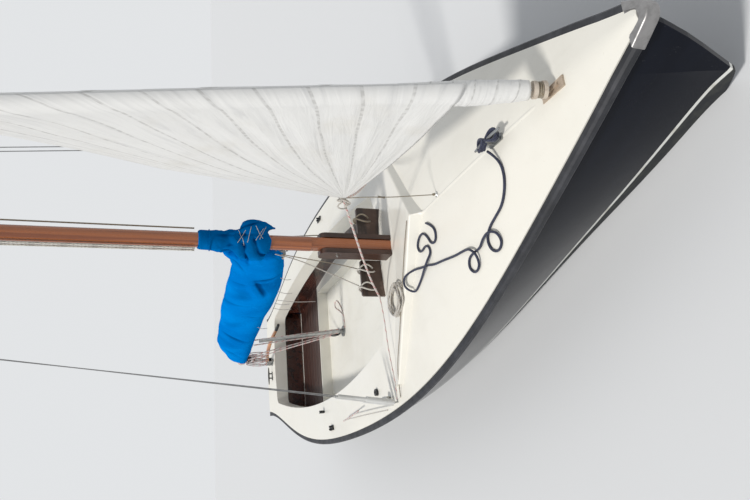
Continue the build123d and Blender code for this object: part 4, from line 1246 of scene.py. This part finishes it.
@dataclass(frozen=True)
class Jib:
    """Jib, mostly rolled round its stay, with its after part set and gathered to the clew."""

    clew: Point = (1.556, 0.0, 1.284)
    tack_z: float = 1.160
    head_z: float = 3.46
    foot_drop: float = 0.034
    leech_hollow: float = 0.066
    belly: float = 0.048
    rows: int = 150
    columns: int = 110
    wrap_columns: int = 14
    wrap_from_deg: float = -15.0
    wrap_to_deg: float = 96.0
    wrap_drop: float = 0.052
    over_roll: float = 0.0035
    thick: float = 0.0016
    leech: tuple[tuple[float, float], ...] = (
        (0.0, 0.0), (0.08, -0.030), (0.25, -0.035), (0.41, -0.013), (0.55, 0.017), (0.70, 0.013), (0.90, 0.011),
        (1.0, 0.0),
    )
    flat: tuple[float, float] = (1.25, 2.62)
    roll_low: float = 0.853
    roll_high: float = 7.695
    roll_rings: int = 620
    roll_sides: int = 36
    roll_table: tuple[tuple[float, float], ...] = (
        (0.853, 0.043), (0.90, 0.048), (0.95, 0.051), (1.05, 0.056), (1.15, 0.055), (1.32, 0.048), (1.50, 0.0445),
        (2.40, 0.0445), (3.40, 0.0435), (4.20, 0.0430), (7.695, 0.020),
    )

    def luff(self, z: Array) -> Array:
        """Places on the stay at heights."""
        return np.stack([STAY_X + STAY_LEAN * (z - STAY_Z), 0 * z, z], -1)

    def thickness(self, z: Array) -> Array:
        """Radius of the roll at heights: fattest where the foot is rolled in, then slowly thinner."""
        return np.interp(z, *zip(*self.roll_table))

    def wrap(self, luff: Array, up: Array) -> Array:
        """First part of each row, which lies round the roll from ahead to starboard; its foot slants down.

        Args:
            luff: places on the stay, one for each row.
            up: share of the luff that each row lies at.

        Returns:
            Array of rows by wrap_columns + 1 by 3; the last column is where the cloth leaves the roll.
        """
        radius = (self.thickness(luff[:, 2]) + self.over_roll)[:, None, None]
        step = np.arange(self.wrap_columns + 1)
        degrees = self.wrap_from_deg + (self.wrap_to_deg - self.wrap_from_deg) / self.wrap_columns * step
        turn = np.radians(degrees)[None, :, None]
        arc = luff[:, None, :] + radius * (np.cos(turn) * STAY_AHEAD - np.sin(turn) * TO_PORT)
        arc[..., 2] -= self.wrap_drop * (1 - step / self.wrap_columns) * (1 - up[:, None]) ** 9
        return arc

    def set_part(self) -> Piece:
        """Sail between clew and luff.

        Each row is a ray from the luff to the clew. Its first part lies round the roll; the rest runs on to the clew
        with a hollow leech, a drooping foot, a belly to starboard and gathers, sin of the height, that die out at
        both ends.

        Returns:
            The cloth, with its thickness.
        """
        up = np.linspace(0, 1, self.rows)
        out = np.linspace(0, 1, self.columns - self.wrap_columns) ** 0.8
        z = self.tack_z + (self.head_z - self.tack_z) * up
        luff = self.luff(z)
        arc = self.wrap(luff, up)
        start = arc[:, -1:, :]
        clew = np.array(self.clew)
        grid = start + (clew - start) * out[None, :, None]
        bow = np.sin(np.pi * out) ** 0.7
        full = np.sin(np.pi * out) ** 1.25
        edge = np.interp(out, *zip(*self.leech))
        out, up = out[None, :], up[:, None]
        grid[..., 0] += self.leech_hollow * bow * up ** 5
        grid[..., 2] -= self.foot_drop * bow * (1 - up) ** 6 + 0.4 * self.leech_hollow * bow * up ** 5
        fold = np.sin(2 * np.pi * (13 * up + 0.25 * np.sin(5 * up))) * 0.0050
        fold = fold + np.sin(2 * np.pi * (31 * up + 0.6 * np.sin(9 * up + 2 * out))) * 0.0022
        grid[..., 1] += fold * out ** 0.8 * (1.02 - out) - edge * up ** 3
        grid[..., 1] -= self.belly * full * (1 - up ** 3) * (1 - (1 - up) ** 5)
        pucker = np.sin(64 * up + 9 * out + 1.5 * np.sin(17 * up)) * np.exp(-(((out - 0.14) / 0.10) ** 2))
        grid[..., 1] += 0.0042 * pucker
        grid = np.concatenate([arc[:, :-1], grid], axis=1)
        piece = grid_piece("jib_cloth", grid, uv=self.seams(grid, luff))
        solid = piece.modifiers.new("cloth", "SOLIDIFY")
        solid.thickness = self.thick
        solid.offset = 0.0
        bake(piece)
        shade_smooth(piece)
        return piece

    def seams(self, grid: Array, luff: Array) -> Array:
        """UV of the set part: V runs from luff to clew, U from foot to head, arched, and slanted round the roll."""
        up = np.linspace(0, 1, self.rows)[:, None]
        middle = runs(grid[self.rows // 2])
        share = middle / middle[-1]
        arch = 0.045 * np.sin(np.pi * share)[None, :] * (0.15 + up)
        slope = np.clip((luff[:, 2] - self.clew[2]) / (luff[:, 0] - self.clew[0]), -0.5, 2.4)[:, None]
        left = np.zeros(self.columns)
        left[:self.wrap_columns] = np.radians(self.wrap_to_deg - self.wrap_from_deg) * (
            1 - np.arange(self.wrap_columns) / self.wrap_columns)
        radius = (self.thickness(luff[:, 2]) + self.over_roll)[:, None]
        u = up - arch - slope / (self.head_z - self.tack_z) * radius * left[None, :]
        return np.stack(np.broadcast_arrays(u, share[None, :]), -1)

    def roll(self) -> Piece:
        """Rolled part: radius by height, with the cloth's edges winding round it as two low spiral steps.

        The edge climbs 2.3 turns in a metre, and 11.3 at the foot, which lies wound on top; seams follow it.

        Returns:
            The roll.
        """
        z = np.linspace(self.roll_low, self.roll_high, self.roll_rings)
        turn = np.linspace(0, 2 * np.pi, self.roll_sides, endpoint=False)
        climb = 2.3 * z + 9.0 * np.minimum(z - 1.25, 0)
        first = (turn[None, :] / (2 * np.pi) + climb[:, None]) % 1.0
        second = (turn[None, :] / (2 * np.pi) + 0.42 + 1.05 * z[:, None]) % 1.0
        step = 0.060 * first ** 3 + 0.030 * second ** 4 + 0.008 * np.sin(9 * z[:, None] + 2 * turn[None, :])
        size = self.thickness(z)[:, None] * (0.92 + step)
        ring = np.cos(turn)[:, None] * STAY_AHEAD + np.sin(turn)[:, None] * TO_PORT
        middle = self.luff(z)
        middle[:, 0] -= np.interp(z, (self.roll_low, 1.05, 1.25, 1.70), (0.0, 0.012, 0.012, 0.0))
        points = middle[:, None, :] + size[..., None] * ring[None]
        once = np.linspace(0, 1, self.roll_sides + 1)[None, :]
        u = (climb[:, None] + once + 0.06) / SAIL_CLOTH.panels + 1.0
        v = np.broadcast_to(once * 0.2, u.shape)
        return grid_piece("jib_rolled", points, closed=True, capped=True, uv=np.stack([u, v], -1))

    def ring(self) -> Piece:
        """Ring pressed through the sail's corner: a flat round with bevelled edges."""
        profile = np.array([(-0.0045, 0.0), (-0.0045, 0.017), (-0.003, 0.021), (0.003, 0.021), (0.0045, 0.017),
                            (0.0045, 0.0)])
        piece = turned("clew_ring", profile, (1.590, 0.004, 1.292), (0, 1, 0), 28)
        return dress(piece, made(STEEL))

    def build(self) -> None:
        """Makes the sail, its roll and the corner ring."""
        sail, roll, ring = self.set_part(), self.roll(), self.ring()
        for piece, node in ((sail, "jib_sail"), (roll, "jib_roll")):
            dress(piece, made(SAIL_CLOTH))
            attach(piece, "root")
            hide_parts(node)
        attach(ring, "root")


@dataclass(frozen=True)
class SheetsAndHalyards:
    """Running rigging that is made fast at both ends. Its first fields are the radii of its lines."""

    sheet: float = 0.0062
    loop: float = 0.0052
    turns: float = 0.0046
    tail: float = 0.0040
    sheet_under_load: float = 0.0036
    halyard: float = 0.0035
    lift: float = 0.0030
    line: float = 0.0026
    tie: float = 0.0022
    lacing: float = 0.0016
    rail_x: float = 0.632
    cleats: tuple[float, ...] = (-0.214, -0.091, 0.109, 0.266)
    cleat_z: float = 0.872
    boom_tip: float = 2.965
    tip_loops: int = 7
    eye: tuple[float, float] = (1.640, 0.020)
    cleat_x: float = 2.302

    def jib_sheets(self) -> None:
        """Flecked sheet from the clew past the mast to the coil and on to the shroud's foot, its knot and tails."""
        rope("jib_sheet", [(1.560, -0.004, 1.290), (1.30, -0.075, 1.155), (1.02, -0.150, 1.010), (0.80, -0.235, 0.880),
                           (0.70, -0.300, 0.800)], self.sheet, PINK_ROPE)
        rope("jib_sheet_led_out", [(0.70, -0.300, 0.800), (0.655, -0.42, 0.768), (0.62, -0.62, 0.742),
                                   (0.585, -0.84, 0.704), (0.560, -0.935, 0.690)], self.sheet_under_load, PINK_ROPE)
        rope("jib_sheet_port", [(1.560, 0.004, 1.280), (1.40, 0.10, 1.17), (1.10, 0.32, 0.98), (0.75, 0.62, 0.79),
                                (0.375, 0.895, 0.715)], self.sheet, PINK_ROPE)
        rope("sheet_lashing", [(-0.542, -0.942, 0.716), (-0.40, -0.938, 0.724), (-0.26, -0.928, 0.726),
                               (-0.135, -0.918, 0.727)], self.loop, PINK_ROPE)
        rope("sheet_lead", [(-0.480, -0.941, 0.722), (-0.20, -0.953, 0.722), (0.15, -0.970, 0.716),
                            (0.420, -0.985, 0.708)], self.tail, PALE_ROPE)
        knots = (((0, 0, 0), 0.020), ((-0.012, -0.012, -0.022), 0.016), ((0.016, 0.008, 0.020), 0.014))
        for number, (shift, size) in enumerate(knots):
            middle = tuple(np.array((1.548, -0.004, 1.282)) + shift)
            hitch(f"clew_knot_{number}", middle, size, self.turns, PALE_ROPE, 0.9 * number)
        rope("clew_tail_a", [(1.548, -0.012, 1.288), (1.520, -0.030, 1.310), (1.500, -0.034, 1.290),
                             (1.496, -0.030, 1.250)], self.tail, PALE_ROPE)
        rope("clew_tail_b", [(1.552, 0.004, 1.296), (1.568, -0.020, 1.325), (1.580, -0.028, 1.300)], self.tail,
             PALE_ROPE)

    def downhaul(self) -> None:
        """Thin line from the clew to an eye on the foredeck, with a toggle half way and a knot at the eye."""
        x, y = self.eye
        low = Ground("deck_moulding").height(x, y)
        rope("clew_line", [(1.566, 0.0, 1.272), (1.590, 0.002, 1.16), (1.603, 0.004, 1.04), (1.622, 0.010, 0.92),
                           (x, y, low + 0.006)], self.line, OLD_ROPE)
        toggle = np.array([(-0.020, 0.0), (-0.018, 0.0065), (-0.006, 0.0045), (0.006, 0.0045), (0.018, 0.0065),
                           (0.020, 0.0)])
        base = np.array([(0.0, 0.0), (0.0, 0.016), (0.004, 0.015), (0.007, 0.008), (0.012, 0.007), (0.014, 0.0)])
        rod = turned("clew_line_toggle", toggle, (1.598, 0.003, 1.085), (0.12, 0, 1), 14)
        foot = turned("clew_line_eye", base, (x, y, low - 0.001), (0, 0, 1), 20)
        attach(dress(rod, made(OLD_ROPE)), "root")
        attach(dress(foot, made(STEEL)), "root")
        hitch("clew_line_knot", (x, y, low + 0.018), 0.009, self.line, OLD_ROPE)

    def halyards(self) -> None:
        """Lines from the pin rails up to the mast and, along it, to the masthead, with hitches on the cleats."""
        rail = self.rail_x
        rope("halyard_starboard", [(rail, -0.200, 0.915), (0.690, -0.140, 1.12), (0.760, -0.075, 1.36),
                                   (0.792, -0.054, 1.50)], self.halyard, PALE_ROPE)
        rope("lift_starboard", [(rail, -0.085, 0.905), (0.700, -0.080, 1.06), (0.765, -0.075, 1.26),
                                (0.795, -0.056, 1.46)], self.lift, OLD_ROPE)
        rope("halyard_port", [(rail, 0.165, 0.915), (0.700, 0.125, 1.10), (0.765, 0.085, 1.30),
                              (0.795, 0.058, 1.46)], self.halyard, OLD_ROPE)
        for name, x, y, radius, finish in (("mast_halyard_a", 0.872, -0.060, self.sheet, MAST_ROPE),
                                           ("mast_halyard_b", 0.846, -0.064, 0.0056, MAST_ROPE),
                                           ("mast_halyard_c", 0.846, 0.074, self.turns, OLD_ROPE)):
            rope(name, [(x, y, 1.99), (x, y * 1.04, 3.4), (x, y * 0.98, 5.2), (x - 0.01, y * 0.70, 8.28)], radius,
                 finish, count=260, up=(1, 0.2, 0))
        for number, y in enumerate(self.cleats):
            self.belay(number, y)

    def belay(self, number: int, y: float) -> None:
        """Turns of a halyard on one cleat: three figures of eight, (sin t, sin 2t), and two loops over the rail."""
        t = np.linspace(0, 6 * np.pi, 120)
        grow = 1.0 + 0.05 * t / np.pi
        eights = np.stack([0.628 - 0.010 * np.cos(t) - 0.0010 * t, y + 0.017 * grow * np.sin(2 * t),
                           self.cleat_z - 0.012 + 0.034 * grow * np.sin(t)], -1)
        finish = OLD_ROPE if number == len(self.cleats) - 1 else WHITE_ROPE
        wound(f"belay_turns_{number}", eights, self.turns, finish, up=(0.9, 0.3, 0.2))
        for letter, side, wide in (("a", -1, 0.016), ("b", 1, 0.012)):
            turn = np.linspace(-0.30 * np.pi, 1.30 * np.pi, 40)
            loop = np.stack([0.652 + 0.034 * np.cos(turn), y + side * wide + 0.012 * np.sin(2 * turn + side),
                             self.cleat_z - 0.010 + (0.054 - 0.008 * side) * np.sin(turn)], -1)
            wound(f"belay_loop_{number}{letter}", loop, self.loop, finish, up=(0.1, 1.0, 0.1))

    def mainsheet(self) -> None:
        """Four falls between boom and floor, and the turns and loops of its end round the boom's tip."""
        ends = (((2.90, -0.024), (-1.800, 0.028, 0.385)), ((2.96, 0.020), (-1.812, 0.044, 0.385)),
                ((2.30, -0.030), (-1.655, 0.018, 0.362)), ((2.33, 0.024), (-1.640, 0.052, 0.362)))
        for number, ((reach, side), low) in enumerate(ends):
            top = along_boom(reach, side, -0.052)
            third = (top - low) / 3
            piece = rope(f"mainsheet_fall_{number}", [low, third + low, 2 * third + low, top], self.sheet, PINK_ROPE,
                         "", up=(1, 0.3, 0))
            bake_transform(piece)
            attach(piece, "root")
        t = np.linspace(0, 8 * np.pi, 180)
        wrap = along_boom(self.boom_tip + 0.0016 * t, 0.0435 * np.sin(t), 0.0435 * np.cos(t))
        wound("boom_tip_turns", wrap, self.turns, PINK_ROPE, "boom", up=(1, 0, 0.05))
        turn = np.linspace(0.5 * np.pi, 2.5 * np.pi, 60)
        for number in range(self.tip_loops):
            swing = 0.016 * (number - self.tip_loops // 2)
            deep = 0.205 + 0.020 * np.sin(2.1 * number)
            loop = along_boom(self.boom_tip + 0.020 + 0.0060 * (number % 3) + 0.010 * np.sin(turn * 2),
                              0.022 * np.cos(turn) + swing, -0.045 - deep / 2 + deep / 2 * np.sin(turn))
            wound(f"boom_tip_loop_{number}", loop, self.turns, PINK_ROPE, "boom", up=(1, 0.1, 0))

    def cover_ties(self) -> None:
        """Thin lines that hang at the cover's side, its lacing down the front of the mast and its tie above."""
        for number, (reach, top, low, lean) in enumerate(((1.50, 0.0, -0.080, 0.0), (0.985, -0.06, -0.199, 0.010),
                                                          (0.87, -0.06, -0.17, -0.01), (0.795, -0.06, -0.352, 0.014),
                                                          (0.60, -0.05, -0.15, 0.01), (0.318, -0.03, -0.100, 0.005))):
            line = along_boom(np.array([reach, reach + lean * 0.5, reach + lean]), np.array([-0.086, -0.099, -0.096]),
                              np.array([top, (top + low) / 2, low]))
            wound(f"cover_tie_{number}", smooth_line(line.tolist(), 24), self.tie, PALE_ROPE, "boom", 6, (1, 0.2, 0))
        cloth = Ground("sail_cover_cloth")
        share = np.linspace(0, 1, 14)
        for number, (y0, z0, y1, z1) in enumerate(((-0.034, 1.748, 0.044, 1.700), (-0.040, 1.706, 0.050, 1.742),
                                                   (-0.030, 1.690, 0.064, 1.668), (-0.014, 1.640, 0.062, 1.592),
                                                   (-0.004, 1.598, 0.070, 1.640), (-0.010, 1.618, 0.074, 1.575))):
            line = [cloth.front(float(y0 + (y1 - y0) * t), float(z0 + (z1 - z0) * t), 0.0012) for t in share]
            rope(f"hood_lacing_{number}", line, self.lacing, WHITE_ROPE, sides=6)
        t = np.linspace(0, 2 * np.pi, 60)
        band = np.stack([MAST_X + 0.0640 * np.cos(t), 0.0630 * np.sin(t), 1.905 + 0.006 * np.cos(t)], -1)
        wound("hood_tie", band, self.lift, COVER_CLOTH, up=(0, 0, 1))

    def deck_lines(self) -> None:
        """Control line along the breakwater, turns of rope on the mooring cleat and on the furling drum.

        The turns on the cleat run as (sin t, sin 2t) and swell as they rise; those on the drum as a helix that climbs
        and comes down again.
        """
        ground = Ground("deck_moulding")
        crest = [(0.560, -0.925), (0.68, -0.76), (0.85, -0.56), (1.05, -0.33), (1.22, -0.14), (1.345, -0.02)]
        rope("control_line", ground.laid(crest, 0.006), self.line, OLD_ROPE)
        top = ground.height(self.cleat_x, 0.0) + 0.034
        t = np.linspace(0, 6 * np.pi, 220)
        swell = 1 + 0.02 * t
        turns = np.stack([self.cleat_x + 0.062 * np.sin(t) * swell, 0.021 * np.sin(2 * t) * swell,
                          top + 0.008 * np.cos(2 * t) + 0.0016 * t], -1)
        wound("cleat_turns", turns, Cordage.rope_radius, NAVY_ROPE, sides=10, up=(0.1, 0.1, 1))
        low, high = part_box("furling_drum")
        middle = np.array([STAY_X, 0.0, STAY_Z]) + STAY_WAY * ((low[2] + high[2]) / 2 - STAY_Z)
        t = np.linspace(0, 12 * np.pi, 300)
        rise = 0.010 * np.sin(t / 6)
        winding = middle + 0.0305 * (np.cos(t)[:, None] * STAY_AHEAD + np.sin(t)[:, None] * TO_PORT)
        wound("drum_line", winding + rise[:, None] * STAY_WAY, 0.0034, OLD_ROPE, sides=7, up=(0.3, 0.2, 1))

    def build(self) -> None:
        """Makes all the lines in turn."""
        for step in (self.jib_sheets, self.downhaul, self.halyards, self.mainsheet, self.cover_ties, self.deck_lines):
            step()
            log.info("rigging: %s", step.__name__)


@dataclass(frozen=True)
class ForedeckRidge:
    """Moulded ridge down the middle of the foredeck, from the breakwater's point to the drum's plate."""

    start: float = 1.372
    end: float = 2.640
    half: float = 0.016
    high: float = 0.0042
    sunk: float = 0.0012
    thick: float = 0.006
    end_taper: float = 0.05

    def build(self) -> None:
        """Carries a low bell section, high x (1 - t^2)^2, along the deck's own height, and closes its ends."""
        ground = Ground("deck_moulding")
        x = np.linspace(self.start, self.end, 60)
        t = np.linspace(-1, 1, 13)
        side = np.array([[ground.height(float(a), w * self.half) for w in (-1, 0, 1)] for a in x])
        deck = np.stack([np.interp(t, (-1, 0, 1), row) for row in side])
        taper = np.clip(np.minimum(x - self.start, self.end - x) / self.end_taper, 0, 1)[:, None]
        z = deck - self.sunk + self.high * taper * (1 - t ** 2)[None, :] ** 2
        top = np.stack(np.broadcast_arrays(x[:, None], (t * self.half)[None, :], z), -1)
        under = top[:, ::-1] - (0, 0, self.thick)
        piece = grid_piece("foredeck_ridge", np.concatenate([top, under], axis=1), closed=True, capped=True)
        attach(dress(piece, made(DECK)), "root")
        log.info("foredeck ridge: %.2f m", self.end - self.start)


@dataclass(frozen=True)
class BenchBoards:
    """Dark boards that cover the aft bench, with narrow gaps and rounded edges."""

    aft: float = -2.86
    front: float = -2.168
    boards: int = 6
    gap: float = 0.005
    thick: float = 0.009
    seat_z: float = 0.4155
    end_gap: float = 0.01
    inside: tuple[tuple[float, float], ...] = ((-2.90, 0.545), (-2.60, 0.640), (-2.15, 0.745))

    def half_width(self, x: Array) -> Array:
        """Half breadth of the boards at a station, along the inside of the hull."""
        return np.interp(x, *zip(*self.inside))

    def build(self) -> None:
        """Makes each board as a long rounded box: a superellipse section carried from side to side."""
        wide = (self.front - self.aft) / self.boards
        turn = np.linspace(0, 2 * np.pi, 24, endpoint=False)
        round_x = np.sign(np.cos(turn)) * np.abs(np.cos(turn)) ** 0.35 * (wide - self.gap) / 2
        round_z = np.sign(np.sin(turn)) * np.abs(np.sin(turn)) ** 0.35 * self.thick / 2
        for number in range(self.boards):
            x = self.aft + wide * (number + 0.5)
            half = float(self.half_width(x)) - self.end_gap
            y = np.linspace(-half, half, 30)
            points = np.stack(np.broadcast_arrays(x + round_x[None, :], y[:, None],
                                                  self.seat_z + self.thick / 2 + round_z[None, :]), -1)
            piece = dress(grid_piece(f"bench_board_{number}", points, closed=True, capped=True), made(BENCH_WOOD))
            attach(piece, "root")
        log.info("bench boards: %d", self.boards)


def main() -> None:
    """Builds the boat's looks in order; most steps log what they made."""
    logging.basicConfig(level=logging.INFO, format="%(message)s")
    Studio().build()
    Cordage().build()
    dress_nodes()
    Jib().build()
    SailCover().build()
    SheetsAndHalyards().build()
    BenchBoards().build()
    ForedeckRidge().build()


if __name__ == "__main__":
    main()
